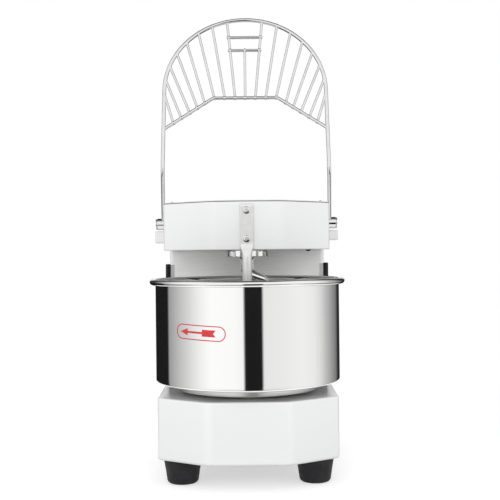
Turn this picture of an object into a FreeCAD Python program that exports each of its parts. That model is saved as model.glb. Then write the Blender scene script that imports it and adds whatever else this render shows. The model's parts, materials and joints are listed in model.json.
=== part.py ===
"""Bench-top spiral dough mixer: faceted steel casing, turning bowl, spiral hook, breaker bar and wire guard.

Every solid is drawn about the bowl's axis (x right, y back, z up, floor at z = 0) and is moved back or forward
by ORIGIN_SHIFT when it is written, so that the origin is at the bottom centre of the whole machine.
"""

import FreeCAD, Part
import os
from math import acos, atan2, cos, hypot, pi, radians, sin, sqrt, tan

V = FreeCAD.Vector
X_AXIS, Y_AXIS, Z_AXIS = V(1, 0, 0), V(0, 1, 0), V(0, 0, 1)

# Driving dimensions of the casing, in millimetres
BODY_WIDTH = 242.0
BASE_FACET = (54.0, 43.0)   # half width of the flat front, and how far the facets run back to the sides
HEAD_FACET = (50.0, 44.0)
SHEET = 2.0                 # painted steel sheet
FOOT_HEIGHT = 32.0
BASE_TOP = 114.5
HEAD_BOTTOM = 310.0
HEAD_SIDE_TOP = 377.5
HEAD_ARCH = 1.2             # rise of the head's top edge from its sides to its middle
BASE_FRONT_Y = -114.0
HEAD_FRONT_Y = 9.0
COLUMN_FRONT_Y = 160.0
COLUMN_PANEL = 1.2          # brushed steel plate on the column's front
BODY_REAR_Y = 306.0
HALF_WIDTH = BODY_WIDTH / 2

# Driving dimensions of the bowl, the spiral and the breaker bar
BOWL_RADIUS = 128.0
BOWL_WALL = 1.5
BOWL_BOTTOM = 128.8
BOWL_RIM_TOP = 271.0
RIM_BEAD = 4.1
BOWL_CORNER = 3.0
SPIRAL_Y = 64.0
SPIRAL_RADIUS = 42.0
SPIRAL_ROD = 14.0
SPIRAL_FLOOR_GAP = 7.0
BAR_Y = 2.0
BAR_DIAMETER = 14.0
BAR_FLAT = (19.0, 8.0)      # width and thickness of the bar's flattened top
BAR_SCREW_Z = (326.0, 366.0)

# Driving dimensions of the wire guard, drawn closed over the bowl and then swung up
GUARD_PIVOT_Y = 172.0
GUARD_PIVOT_Z = 352.0
GUARD_DROP = 66.5           # the closed fan lies this far below the pivot
GUARD_RADIUS = 128.3
GUARD_SPREAD = 3.0          # the legs' lower ends stand this much wider than the hoop, on each side
GUARD_KNEE = 66.3           # closed, the legs level out this far in front of the pivot
GUARD_CENTRE = 201.8        # closed, the hoop's half circle is centred here
GUARD_OPEN_DEG = 109.5
HOOP_ROD, RAIL_ROD, BAR_ROD, RUNG_ROD = 6.0, 5.0, 4.0, 4.8

# Drive line
DRIVE_X, DRIVE_Y = 58.0, 235.0
MOTOR_X, MOTOR_Y, MOTOR_RADIUS = -42.0, 233.0, 56.0
BELT_THICK, BELT_WIDTH, BELT_GAP = 3.4, 10.0, 0.3
BOWL_PULLEY, BOWL_DRIVE_PULLEY = 88.0, 13.0       # rim radii: 90 and 15 at the belt's middle, 6 to 1
SPIRAL_PULLEY, SPIRAL_DRIVE_PULLEY = 48.0, 38.0   # rim radii: 50 and 40 at the belt's middle, 5 to 4
LOWER_BELT_Z, UPPER_BELT_Z = 48.0, 351.0
RUNNING_FIT = 0.05

# Button-head screws: shank radius, head radius and head height
M4, M5, M6 = (2.0, 4.6, 2.4), (2.5, 4.7, 2.6), (3.0, 5.4, 3.3)
M6_CLEARANCE = 3.2

# Largest reach in front of and behind the bowl's axis; the origin lies midway
REAR_COVER = 1.6
REACH_FRONT = BOWL_RADIUS + 2 * RIM_BEAD - 0.2
GLAND_REACH = 20.0
REACH_REAR = BODY_REAR_Y + REAR_COVER + GLAND_REACH
ORIGIN_SHIFT = V(0, (REACH_FRONT - REACH_REAR) / 2, 0)


def save(name, *solids):
    """Writes one node, moved into the machine's own frame."""
    shape = solids[0] if len(solids) == 1 else Part.makeCompound(list(solids))
    shape = shape.copy()
    shape.translate(ORIGIN_SHIFT)
    shape.exportStep(f"parts/{name}.step")
    print(f"{name:24s} valid {shape.isValid()}  solids {len(shape.Solids)}  {shape.Volume / 1000:9.2f} cm3")


def box(x0, x1, y0, y1, z0, z1):
    return Part.makeBox(x1 - x0, y1 - y0, z1 - z0, V(x0, y0, z0))


def cylinder(radius, start, end):
    axis = end - start
    return Part.makeCylinder(radius, axis.Length, start, axis)


def upright(radius, x, y, z0, z1):
    return Part.makeCylinder(radius, z1 - z0, V(x, y, z0))


def ring(outer, inner, x, y, z0, z1):
    return upright(outer, x, y, z0, z1).cut(upright(inner, x, y, z0 - 1, z1 + 1))


def rounded_outline(corners, radii, z):
    """A closed outline of straight sides joined by tangent arcs; one radius for each corner."""
    count = len(corners)
    points = [V(x, y, z) for x, y in corners]
    tangents = []
    for i in range(count):
        here = points[i]
        back = (points[i - 1] - here).normalize()
        ahead = (points[(i + 1) % count] - here).normalize()
        half = acos(max(-1, min(1, back.dot(ahead)))) / 2
        reach = radii[i] / tan(half)
        middle = (back + ahead).normalize()
        bulge = here + middle * (radii[i] / sin(half) - radii[i])
        tangents.append((here + back * reach, bulge, here + ahead * reach))
    edges = []
    for i in range(count):
        start, bulge, end = tangents[i]
        if radii[i] > 0:
            edges.append(Part.Arc(start, bulge, end).toShape())
        following = tangents[(i + 1) % count][0]
        if (following - end).Length > 1e-6:
            edges.append(Part.LineSegment(end, following).toShape())
    return Part.Wire(edges)


def prism(outline, height):
    return Part.Face(outline).extrude(V(0, 0, height))


def revolved(profile, x=0.0, y=0.0):
    """Turns a list of (radius, z) points about a vertical axis through (x, y)."""
    points = [V(x + r, y, z) for r, z in profile]
    face = Part.Face(Part.makePolygon(points + [points[0]]))
    return face.revolve(V(x, y, 0), Z_AXIS, 360)


def bent_rod(points, bends, diameter):
    """A round rod along straight runs joined by tangent arcs; one bend radius for each inner point."""
    edges = []
    start = points[0]
    for i, bend in enumerate(bends, 1):
        here = points[i]
        back = (points[i - 1] - here).normalize()
        ahead = (points[i + 1] - here).normalize()
        half = acos(max(-1, min(1, back.dot(ahead)))) / 2
        reach = bend / tan(half)
        middle = here + (back + ahead).normalize() * (bend / sin(half) - bend)
        edges.append(Part.LineSegment(start, here + back * reach).toShape())
        edges.append(Part.Arc(here + back * reach, middle, here + ahead * reach).toShape())
        start = here + ahead * reach
    edges.append(Part.LineSegment(start, points[-1]).toShape())
    return swept_rod(edges, diameter)


def swept_rod(edges, diameter):
    path = Part.Wire(edges)
    first = path.Edges[0]
    begin = first.FirstParameter
    circle = Part.Circle(first.valueAt(begin), first.tangentAt(begin), diameter / 2)
    section = Part.Wire([circle.toShape()])
    return path.makePipeShell([section], True, False)


def button_screw(radius, head_radius, head_height, seat, axis, length):
    """A domed-head screw: the head stands on the seat along the axis, the shank runs the other way."""
    dome = (head_radius ** 2 + head_height ** 2) / (2 * head_height)
    ball = Part.makeSphere(dome, seat - axis * (dome - head_height))
    head = ball.common(Part.makeCylinder(head_radius, head_height + 1, seat, axis))
    socket = Part.makeCylinder(radius * 0.55, head_height * 0.6, seat + axis * head_height * 0.6, axis)
    shank = Part.makeCylinder(radius, length, seat, axis * -1)
    return head.fuse(shank).removeSplitter().cut(socket)


def faceted_plan(front_y, facet, inset=0.0):
    """Plan of the base and the head: flat front, two facets, straight sides; inset moves every side inwards."""
    flat, deep = facet
    run = HALF_WIDTH - flat
    slope = hypot(run, deep)
    front_corner = flat - inset * (slope - run) / deep
    side_corner = front_y + deep + inset * (slope - deep) / run
    half, front, rear = HALF_WIDTH - inset, front_y + inset, BODY_REAR_Y - inset
    return [(front_corner, front), (half, side_corner), (half, rear), (-half, rear), (-half, side_corner),
            (-front_corner, front)]


def faceted_prism(front_y, facet, inset, z0, z1):
    soft = [max(1.0, 22.0 - inset), max(1.0, 8.0 - inset), max(1.0, 6.0 - inset)]
    radii = [soft[0], soft[1], soft[2], soft[2], soft[1], soft[0]]
    return prism(rounded_outline(faceted_plan(front_y, facet, inset), radii, z0), z1 - z0)


def level_edges(solid, z):
    return [e for e in solid.Edges if all(abs(v.Z - z) < 1e-4 for v in e.Vertexes)]


def belt_outline(a, ra, b, rb, z):
    """The loop of a belt round two circles, as two straight runs and two arcs."""
    across = V(b[0] - a[0], b[1] - a[1], 0)
    along = atan2(across.y, across.x)
    lean = acos((ra - rb) / across.Length)

    def at(centre, radius, angle):
        return V(centre[0] + radius * cos(angle), centre[1] + radius * sin(angle), z)

    upper_a, lower_a = at(a, ra, along + lean), at(a, ra, along - lean)
    upper_b, lower_b = at(b, rb, along + lean), at(b, rb, along - lean)
    return Part.Wire([
        Part.Arc(upper_a, at(a, ra, along + pi), lower_a).toShape(),
        Part.LineSegment(lower_a, lower_b).toShape(),
        Part.Arc(lower_b, at(b, rb, along), upper_b).toShape(),
        Part.LineSegment(upper_b, upper_a).toShape(),
    ])


def belt(a, rim_a, b, rim_b, z_middle):
    inner = prism(belt_outline(a, rim_a + BELT_GAP, b, rim_b + BELT_GAP, z_middle - BELT_WIDTH / 2), BELT_WIDTH)
    grown = BELT_GAP + BELT_THICK
    outer = prism(belt_outline(a, rim_a + grown, b, rim_b + grown, z_middle - BELT_WIDTH / 2), BELT_WIDTH)
    return outer.cut(inner)


def pulley(x, y, rim, bore, hub, z_middle):
    """A flanged belt pulley with a thin web where it is large enough for one."""
    half = BELT_WIDTH / 2 + 0.6
    flange = rim + BELT_THICK + 1.0
    side = 1.6
    profile = [(bore, z_middle - half - side), (flange, z_middle - half - side), (flange, z_middle - half),
               (rim, z_middle - half), (rim, z_middle + half), (flange, z_middle + half),
               (flange, z_middle + half + side), (bore, z_middle + half + side)]
    wheel = revolved(profile, x, y)
    if rim - hub > 18:
        deep = half + side + 1
        for z0, z1 in ((z_middle + 2.5, z_middle + deep), (z_middle - deep, z_middle - 2.5)):
            wheel = wheel.cut(ring(rim - 6, hub, x, y, z0, z1))
    return wheel


def bearing(x, y, outer, inner, z0, z1):
    """A sealed ball bearing: two races and the two recessed seals between them, as one closed ring."""
    width = (outer - inner) * 0.28
    recess = 0.8
    profile = [(inner, z0), (inner + width, z0), (inner + width, z0 + recess), (outer - width, z0 + recess),
               (outer - width, z0), (outer, z0), (outer, z1), (outer - width, z1), (outer - width, z1 - recess),
               (inner + width, z1 - recess), (inner + width, z1), (inner, z1)]
    return revolved(profile, x, y)


def hexagon_nut(x, y, across_flats, bore, z0, z1):
    corner = across_flats / sqrt(3)
    outline = Part.makePolygon([V(x + corner * cos(radians(60 * i)), y + corner * sin(radians(60 * i)), z0)
                                for i in range(7)])
    return prism(outline, z1 - z0).cut(upright(bore, x, y, z0 - 1, z1 + 1))


# Casing: base, column, head and their covers
FOOT_X, FOOT_Y_FRONT, FOOT_Y_REAR = 88.5, -59.0, 262.0
FEET = [(x, y) for y in (FOOT_Y_FRONT, FOOT_Y_REAR) for x in (-FOOT_X, FOOT_X)]
FOOT_TOP_RADIUS, FOOT_SOLE_RADIUS, FOOT_SOLE_ROUND = 25.0, 20.5, 5.0
STUD_RADIUS, STUD_IN_RUBBER, STUD_TOP = 4.0, 14.0, 48.0
BOTTOM_FLANGE = 46.0        # width of the base's bottom flange, which takes the feet
BASE_TOP_SHEET = 3.0
HOUSING_BORE = 27.2
WELL = 12.0                 # margin round the well between column, base and head
WINDOW_X, WINDOW_TOP = 106.0, 366.0
CONTROL_Y = 236.0
KNOB_Z, START_Z, STOP_Z = 238.0, 200.0, 164.0
BUTTON_RADIUS, BUTTON_HOLE = 11.0, 13.0
KNOB_SHAFT_RADIUS, KNOB_HOLE = 3.0, 6.0
COLUMN_ROUND, REAR_ROUND = 5.0, 6.0
PANEL_MARGIN = 1.5          # gap above and below the column's front plate
BASE_FLOOR = FOOT_HEIGHT + SHEET
BOTTOM_PLATE_TOP = BASE_FLOOR + 1.5


def well(z0, z1):
    return box(-HALF_WIDTH + WELL, HALF_WIDTH - WELL, COLUMN_FRONT_Y + WELL, BODY_REAR_Y - WELL, z0, z1)


def make_base():
    outer = faceted_prism(BASE_FRONT_Y, BASE_FACET, 0, FOOT_HEIGHT, BASE_TOP)
    outer = outer.makeFillet(4.0, level_edges(outer, FOOT_HEIGHT))
    outer = outer.makeFillet(2.5, level_edges(outer, BASE_TOP))
    cavity = faceted_prism(BASE_FRONT_Y, BASE_FACET, SHEET, BASE_FLOOR, BASE_TOP - BASE_TOP_SHEET)
    mouth = faceted_prism(BASE_FRONT_Y, BASE_FACET, BOTTOM_FLANGE, FOOT_HEIGHT - 1, BASE_FLOOR + 1)
    shell = outer.cut(cavity).cut(mouth)
    shell = shell.cut(upright(HOUSING_BORE, 0, 0, BASE_TOP - 6, BASE_TOP + 1))
    shell = shell.cut(well(BASE_TOP - 6, BASE_TOP + 1))
    for x, y in FEET:
        shell = shell.cut(upright(STUD_RADIUS + 0.3, x, y, FOOT_HEIGHT - 1, BASE_FLOOR + 1))
    for x, y in housing_screw_places(0, 0):
        shell = shell.cut(upright(M6_CLEARANCE, x, y, BASE_TOP - 6, BASE_TOP + 1))
    save("base_shell", shell)

    plate = faceted_prism(BASE_FRONT_Y, BASE_FACET, SHEET + 1.5, BASE_FLOOR, BOTTOM_PLATE_TOP)
    for x, y in FEET:
        plate = plate.cut(upright(STUD_RADIUS + 0.3, x, y, BASE_FLOOR - 1, BOTTOM_PLATE_TOP + 1))
    for row in range(7):
        slot_y = 60 + 14 * row
        plate = plate.cut(box(-45, 45, slot_y, slot_y + 5, BASE_FLOOR - 1, BOTTOM_PLATE_TOP + 1))
    save("bottom_plate", plate)


def make_column():
    corners = [(-HALF_WIDTH, COLUMN_FRONT_Y), (HALF_WIDTH, COLUMN_FRONT_Y), (HALF_WIDTH, BODY_REAR_Y),
               (-HALF_WIDTH, BODY_REAR_Y)]
    inside = [(x - SHEET * (1 if x > 0 else -1), y + (SHEET if y < 200 else -SHEET)) for x, y in corners]
    height = HEAD_BOTTOM - BASE_TOP
    radii = [COLUMN_ROUND, COLUMN_ROUND, REAR_ROUND, REAR_ROUND]
    outer = prism(rounded_outline(corners, radii, BASE_TOP), height)
    soft = [radius - SHEET for radius in radii]
    inner = prism(rounded_outline(inside, soft, BASE_TOP - 1), height + 2)
    shell = outer.cut(inner)
    shell = shell.cut(rear_window(BASE_TOP + 8, HEAD_BOTTOM + 1))
    for radius, z in ((BUTTON_HOLE, START_Z), (BUTTON_HOLE, STOP_Z), (KNOB_HOLE, KNOB_Z)):
        shell = shell.cut(sideways(radius, HALF_WIDTH - 5, HALF_WIDTH + 1, z))
    for x, z in REAR_SCREWS:
        shell = shell.cut(cylinder(2.0, V(x, BODY_REAR_Y - 5, z), V(x, BODY_REAR_Y + 1, z)))
    edge = HALF_WIDTH - COLUMN_ROUND - 0.5
    panel = box(-edge, edge, COLUMN_FRONT_Y - COLUMN_PANEL, COLUMN_FRONT_Y, BASE_TOP + PANEL_MARGIN,
                HEAD_BOTTOM - PANEL_MARGIN)
    for x, z in SHIELD_BOLTS:
        hole = cylinder(2.6, V(x, COLUMN_FRONT_Y - 3, z), V(x, COLUMN_FRONT_Y + 5, z))
        shell, panel = shell.cut(hole), panel.cut(hole)
    save("column_shell", shell)
    save("column_front_panel", panel)


def rear_window(z0, z1):
    return box(-WINDOW_X, WINDOW_X, BODY_REAR_Y - 8, BODY_REAR_Y + 1, z0, z1)


def arch(rise):
    """A long cylinder whose top is the head's arched top edge, raised by the given amount."""
    radius = (HALF_WIDTH ** 2 + HEAD_ARCH ** 2) / (2 * HEAD_ARCH)
    crown = HEAD_SIDE_TOP + HEAD_ARCH
    return Part.makeCylinder(radius + rise, 700, V(0, -300, crown - radius), Y_AXIS)


TRIM_HEIGHT, TRIM_WIDTH, COVER_SHEET = 1.2, 7.0, 1.2
COVER_SCREWS = [(x, y) for y in (80.0, 186.0, 292.0) for x in (-110.0, 110.0)]
TAB_HALF = 8.0              # half the size of the tabs that take the cover's screws


def make_head():
    tall = HEAD_SIDE_TOP + HEAD_ARCH + 20
    outer = faceted_prism(HEAD_FRONT_Y, HEAD_FACET, 0, HEAD_BOTTOM, tall)
    outer = outer.makeFillet(2.0, level_edges(outer, HEAD_BOTTOM)).common(arch(0))
    shell = outer.cut(faceted_prism(HEAD_FRONT_Y, HEAD_FACET, SHEET, HEAD_BOTTOM + SHEET, tall + 1))
    shell = shell.cut(well(HEAD_BOTTOM - 1, HEAD_BOTTOM + 6))
    shell = shell.cut(rear_window(HEAD_BOTTOM + 6, WINDOW_TOP))
    shell = shell.cut(upright(16.0, 0, SPIRAL_Y, HEAD_BOTTOM - 1, HEAD_BOTTOM + 6))
    for x, y in housing_screw_places(0, SPIRAL_Y):
        shell = shell.cut(upright(M6_CLEARANCE, x, y, HEAD_BOTTOM - 1, HEAD_BOTTOM + 6))
    for z in BAR_SCREW_Z:
        shell = shell.cut(cylinder(M6_CLEARANCE, V(0, HEAD_FRONT_Y - 1, z), V(0, HEAD_FRONT_Y + 5, z)))
    for x, z in REAR_SCREWS:
        shell = shell.cut(cylinder(2.0, V(x, BODY_REAR_Y - 5, z), V(x, BODY_REAR_Y + 1, z)))
    for side in (-1, 1):
        wall = V(side * HALF_WIDTH, GUARD_PIVOT_Y, GUARD_PIVOT_Z)
        shell = shell.cut(cylinder(5.0, wall - X_AXIS * 6, wall + X_AXIS * 6))
    tabs = []
    for x, y in COVER_SCREWS:
        side = x / abs(x)
        inner, outer = sorted((x - side * TAB_HALF, side * (HALF_WIDTH - SHEET)))
        tab = box(inner, outer, y - TAB_HALF, y + TAB_HALF, HEAD_SIDE_TOP - 6, HEAD_SIDE_TOP - 3)
        tabs.append(tab.cut(upright(2.1, x, y, HEAD_SIDE_TOP - 10, HEAD_SIDE_TOP)))
    save("head_shell", shell.fuse(tabs).removeSplitter())

    trim = faceted_prism(HEAD_FRONT_Y, HEAD_FACET, 0, HEAD_BOTTOM, tall)
    trim = trim.cut(faceted_prism(HEAD_FRONT_Y, HEAD_FACET, TRIM_WIDTH, HEAD_BOTTOM, tall))
    save("head_trim", trim.common(arch(TRIM_HEIGHT).cut(arch(0))))

    lid = faceted_prism(HEAD_FRONT_Y, HEAD_FACET, 0, HEAD_BOTTOM, tall)
    lid = lid.common(arch(TRIM_HEIGHT + COVER_SHEET).cut(arch(TRIM_HEIGHT)))
    for x, y in COVER_SCREWS:
        lid = lid.cut(upright(2.4, x, y, HEAD_BOTTOM, tall))
    save("head_cover", lid)
    screws = []
    for x, y in COVER_SCREWS:
        fall = HEAD_ARCH * (x / HALF_WIDTH) ** 2
        seat = HEAD_SIDE_TOP + HEAD_ARCH - fall + TRIM_HEIGHT + COVER_SHEET + 0.2
        screws.append(button_screw(*M4, V(x, y, seat), Z_AXIS, 12))
    save("head_cover_screws", *screws)


REAR_SCREWS = [(x, z) for z in (124.0, 247.0, 369.0) for x in (-110.0, 110.0)]
GLAND_X, GLAND_Z = -70.0, 150.0
GLAND_BORE, GLAND_THREAD = 4.0, 8.0


def make_rear_cover():
    y0, y1 = BODY_REAR_Y, BODY_REAR_Y + REAR_COVER
    corners = [(-116, 118), (116, 118), (116, 374), (-116, 374)]
    plate = prism(rounded_outline(corners, [5] * 4, 0), REAR_COVER)
    plate.rotate(V(0, 0, 0), X_AXIS, 90)
    plate.translate(V(0, y1, 0))
    for row in range(9):
        z = 196 + 12 * row
        plate = plate.cut(box(-70, 70, y0 - 1, y1 + 1, z, z + 4))
    plate = plate.cut(cylinder(GLAND_THREAD + 0.2, V(GLAND_X, y0 - 1, GLAND_Z), V(GLAND_X, y1 + 1, GLAND_Z)))
    for x, z in REAR_SCREWS:
        plate = plate.cut(cylinder(2.4, V(x, y0 - 1, z), V(x, y1 + 1, z)))
    save("rear_cover", plate)
    save("rear_cover_screws", *[button_screw(*M4, V(x, y1, z), Y_AXIS, 6) for x, z in REAR_SCREWS])

    outer = y1 + GLAND_REACH
    axis = [V(GLAND_X, y, GLAND_Z) for y in (y1 - 12, y1, y1 + 7, outer)]
    body = cylinder(GLAND_THREAD, axis[0], axis[1])
    flats = Part.makePolygon([V(GLAND_X + 13 * cos(radians(60 * i)), y1, GLAND_Z + 13 * sin(radians(60 * i)))
                              for i in range(7)])
    body = body.fuse(Part.Face(flats).extrude(V(0, 7, 0)))
    body = body.fuse(Part.makeCone(10.5, 7.5, outer - axis[2].y, axis[2], Y_AXIS)).removeSplitter()
    save("cable_gland", body.cut(cylinder(GLAND_BORE, axis[0] - Y_AXIS, axis[3] + Y_AXIS)))


def make_feet():
    feet = []
    for x, y in FEET:
        round_z = FOOT_SOLE_ROUND
        wall = V(x + FOOT_SOLE_RADIUS, y, round_z)
        sole = V(x + FOOT_SOLE_RADIUS - round_z, y, 0)
        belly = V(x + FOOT_SOLE_RADIUS - round_z * (1 - sin(pi / 4)), y, round_z * (1 - sin(pi / 4)))
        rim, crown, heel = V(x + FOOT_TOP_RADIUS, y, FOOT_HEIGHT), V(x, y, FOOT_HEIGHT), V(x, y, 0)
        edges = [Part.LineSegment(heel, sole), Part.Arc(sole, belly, wall), Part.LineSegment(wall, rim),
                 Part.LineSegment(rim, crown), Part.LineSegment(crown, heel)]
        foot = Part.Face(Part.Wire([edge.toShape() for edge in edges])).revolve(heel, Z_AXIS, 360)
        feet.append(foot.cut(upright(STUD_RADIUS, x, y, STUD_IN_RUBBER, FOOT_HEIGHT + 1)))
    save("rubber_feet", *feet)
    save("foot_studs", *[upright(STUD_RADIUS, x, y, STUD_IN_RUBBER, STUD_TOP) for x, y in FEET])
    save("foot_nuts", *[hexagon_nut(x, y, 13, STUD_RADIUS, BOTTOM_PLATE_TOP, BOTTOM_PLATE_TOP + 6.5)
                        for x, y in FEET])


# Bowl, its plinth, shaft and bearings
PLINTH_RADIUS, PLINTH_BOTTOM, PLINTH_SHEET = 98.7, 118.3, 2.0
SHAFT_RADIUS, BEARING_RADIUS, BEARING_HEIGHT = 10.0, 21.0, 12.0
HOUSING_RADIUS, HOUSING_FLANGE, HOUSING_FLANGE_THICK = 26.0, 44.0, 6.0
HOUSING_SCREW_CIRCLE = 36.0
BOWL_SHAFT_BOTTOM = 37.5
BOLT_RADIUS = 5.0


def housing_screw_places(x, y):
    reach = HOUSING_SCREW_CIRCLE * sin(pi / 4)
    return [(x + across * reach, y + along * reach) for across in (-1, 1) for along in (-1, 1)]


def bowl_form(radius, corner, floor, top):
    """The bowl's outside or inside as a solid: a can with a rounded bottom edge."""
    low, side = V(radius - corner, 0, floor), V(radius, 0, floor + corner)
    turn = V(radius - corner * (1 - sin(pi / 4)), 0, floor + corner * (1 - sin(pi / 4)))
    middle, rim, crown = V(0, 0, floor), V(radius, 0, top), V(0, 0, top)
    edges = [Part.LineSegment(middle, low), Part.Arc(low, turn, side), Part.LineSegment(side, rim),
             Part.LineSegment(rim, crown), Part.LineSegment(crown, middle)]
    return Part.Face(Part.Wire([edge.toShape() for edge in edges])).revolve(V(0, 0, 0), Z_AXIS, 360)


def make_bowl():
    bead_z = BOWL_RIM_TOP - RIM_BEAD
    bead_radius = REACH_FRONT - RIM_BEAD
    outside = bowl_form(BOWL_RADIUS, BOWL_CORNER, BOWL_BOTTOM, bead_z + 1)
    inside = bowl_form(BOWL_RADIUS - BOWL_WALL, BOWL_CORNER - BOWL_WALL, BOWL_BOTTOM + BOWL_WALL, bead_z + 2)
    bead = Part.makeTorus(bead_radius, RIM_BEAD, V(0, 0, bead_z))
    bowl = outside.cut(inside).fuse(bead).removeSplitter()
    save("bowl", bowl.cut(upright(BOLT_RADIUS, 0, 0, BOWL_BOTTOM - 1, BOWL_BOTTOM + 5)))

    top = BOWL_BOTTOM - PLINTH_SHEET
    hollow = PLINTH_RADIUS - PLINTH_SHEET
    profile = [(BOLT_RADIUS, top), (hollow, top), (hollow, PLINTH_BOTTOM), (PLINTH_RADIUS, PLINTH_BOTTOM),
               (PLINTH_RADIUS, BOWL_BOTTOM), (BOLT_RADIUS, BOWL_BOTTOM)]
    save("bowl_plinth", revolved(profile))

    flange = [(0, BOWL_SHAFT_BOTTOM), (SHAFT_RADIUS, BOWL_SHAFT_BOTTOM), (SHAFT_RADIUS, top - 5), (34, top - 5),
              (34, top), (0, top)]
    save("bowl_shaft", revolved(flange).cut(upright(BOLT_RADIUS, 0, 0, top - 24, top + 1)))
    dome = V(0, 0, BOWL_BOTTOM + BOWL_WALL)
    save("bowl_centre_bolt", button_screw(BOLT_RADIUS, 15, 4.5, dome, Z_AXIS, BOWL_WALL + PLINTH_SHEET + 22))

    bottom = LOWER_BELT_Z + 9.5
    collar = BASE_TOP + 1.2
    seat_top = BASE_TOP - BASE_TOP_SHEET
    under = seat_top - HOUSING_FLANGE_THICK
    housing = revolved([(BEARING_RADIUS, bottom), (HOUSING_RADIUS, bottom), (HOUSING_RADIUS, under),
                        (HOUSING_FLANGE, under), (HOUSING_FLANGE, seat_top), (HOUSING_RADIUS + 1, seat_top),
                        (HOUSING_RADIUS + 1, collar), (BEARING_RADIUS, collar)])
    for x, y in housing_screw_places(0, 0):
        housing = housing.cut(upright(2.5, x, y, seat_top - 10, seat_top + 1))
    save("bowl_bearing_housing", housing)
    save("bowl_bearings", *[bearing(0, 0, BEARING_RADIUS, SHAFT_RADIUS + RUNNING_FIT, z0, z0 + BEARING_HEIGHT)
                            for z0 in (collar - 1 - BEARING_HEIGHT, bottom + 1)])
    save("bowl_housing_screws", *[button_screw(*M5, V(x, y, BASE_TOP), Z_AXIS, 9)
                                  for x, y in housing_screw_places(0, 0)])
    save("bowl_pulley", pulley(0, 0, BOWL_PULLEY, SHAFT_RADIUS, 20, LOWER_BELT_Z))


# Spiral, its collar, shaft and bearings
COLLAR_RADIUS, COLLAR_BOTTOM, COLLAR_TOP = 30.5, 300.0, 309.0
COLLAR_SLOTS, COLLAR_SLOT_WIDTH, COLLAR_SLOT_DEPTH = 16, 5.5, 6.0
NECK_BOTTOM = 283.5
SPIRAL_TURNS = 1.55
SPIRAL_START_DEG = -75.0
SPIRAL_GROW = 0.44          # turns over which the rod swings out from the neck to its full radius
SPIRAL_POINTS = 26
TIP_SHARE, TIP_CLOSING = 0.86, 0.42     # where the spiral's tip starts to close in, and by how much


def spiral_point(share):
    """A point on the spiral's centre line; share runs from 0 at the neck to 1 at the tip."""
    turn = SPIRAL_TURNS * share
    grown = min(1.0, turn / SPIRAL_GROW)
    swing = SPIRAL_RADIUS * (1 - cos(grown * pi)) / 2
    closing = max(0.0, (share - TIP_SHARE) / (1 - TIP_SHARE))
    swing *= 1 - TIP_CLOSING * closing ** 2
    angle = radians(SPIRAL_START_DEG + 360 * turn)
    tip = BOWL_BOTTOM + BOWL_WALL + SPIRAL_FLOOR_GAP + SPIRAL_ROD / 2
    fall = share - 0.05 * sin(pi * share)
    return V(swing * cos(angle), SPIRAL_Y + swing * sin(angle), NECK_BOTTOM - (NECK_BOTTOM - tip) * fall)


def make_spiral():
    curve = Part.BSplineCurve()
    curve.interpolate([spiral_point(i / SPIRAL_POINTS) for i in range(SPIRAL_POINTS + 1)])
    rod = swept_rod([curve.toShape()], SPIRAL_ROD)
    tip = Part.makeSphere(SPIRAL_ROD / 2, spiral_point(1))
    neck = upright(SHAFT_RADIUS, 0, SPIRAL_Y, NECK_BOTTOM, COLLAR_BOTTOM)
    shoulder = Part.makeSphere(SHAFT_RADIUS, V(0, SPIRAL_Y, NECK_BOTTOM))
    save("spiral_hook", neck.fuse([shoulder, rod, tip]).removeSplitter())

    collar = ring(COLLAR_RADIUS, SHAFT_RADIUS, 0, SPIRAL_Y, COLLAR_BOTTOM, COLLAR_TOP)
    collar = collar.makeChamfer(1.0, level_edges(collar, COLLAR_BOTTOM)[:1])
    for i in range(COLLAR_SLOTS):
        slot = box(COLLAR_RADIUS - COLLAR_SLOT_DEPTH, COLLAR_RADIUS + 2, -COLLAR_SLOT_WIDTH / 2,
                   COLLAR_SLOT_WIDTH / 2, COLLAR_BOTTOM - 1, COLLAR_TOP + 1)
        slot.rotate(V(0, 0, 0), Z_AXIS, 360 / COLLAR_SLOTS * i + 8)
        slot.translate(V(0, SPIRAL_Y, 0))
        collar = collar.cut(slot)
    save("spiral_collar", collar)

    floor = HEAD_BOTTOM + SHEET
    top = UPPER_BELT_Z + 17
    save("spiral_shaft", upright(SHAFT_RADIUS, 0, SPIRAL_Y, COLLAR_BOTTOM, top))
    housing_top = UPPER_BELT_Z - 10.5
    flange_top = floor + HOUSING_FLANGE_THICK
    housing = revolved([(BEARING_RADIUS, floor), (HOUSING_FLANGE, floor), (HOUSING_FLANGE, flange_top),
                        (HOUSING_RADIUS, flange_top), (HOUSING_RADIUS, housing_top),
                        (BEARING_RADIUS, housing_top)], 0, SPIRAL_Y)
    for x, y in housing_screw_places(0, SPIRAL_Y):
        housing = housing.cut(upright(2.5, x, y, floor - 1, floor + 10))
    save("spiral_bearing_housing", housing)
    save("spiral_bearings",
         *[bearing(0, SPIRAL_Y, BEARING_RADIUS, SHAFT_RADIUS + RUNNING_FIT, z0, z0 + BEARING_HEIGHT)
           for z0 in (floor + 0.5, housing_top - BEARING_HEIGHT - 0.5)])
    save("spiral_housing_screws", *[button_screw(*M5, V(x, y, HEAD_BOTTOM), Z_AXIS * -1, 8)
                                    for x, y in housing_screw_places(0, SPIRAL_Y)])
    save("spiral_pulley", pulley(0, SPIRAL_Y, SPIRAL_PULLEY, SHAFT_RADIUS, 20, UPPER_BELT_Z))
    nut_bottom = UPPER_BELT_Z + 7.4
    save("spiral_shaft_nut", hexagon_nut(0, SPIRAL_Y, 30, SHAFT_RADIUS, nut_bottom, nut_bottom + 8))


# Breaker bar
BAR_TOP, BAR_FLAT_BOTTOM, BAR_ROUND_TOP, BAR_BOTTOM = 375.0, 319.0, 299.0, 145.0


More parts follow.
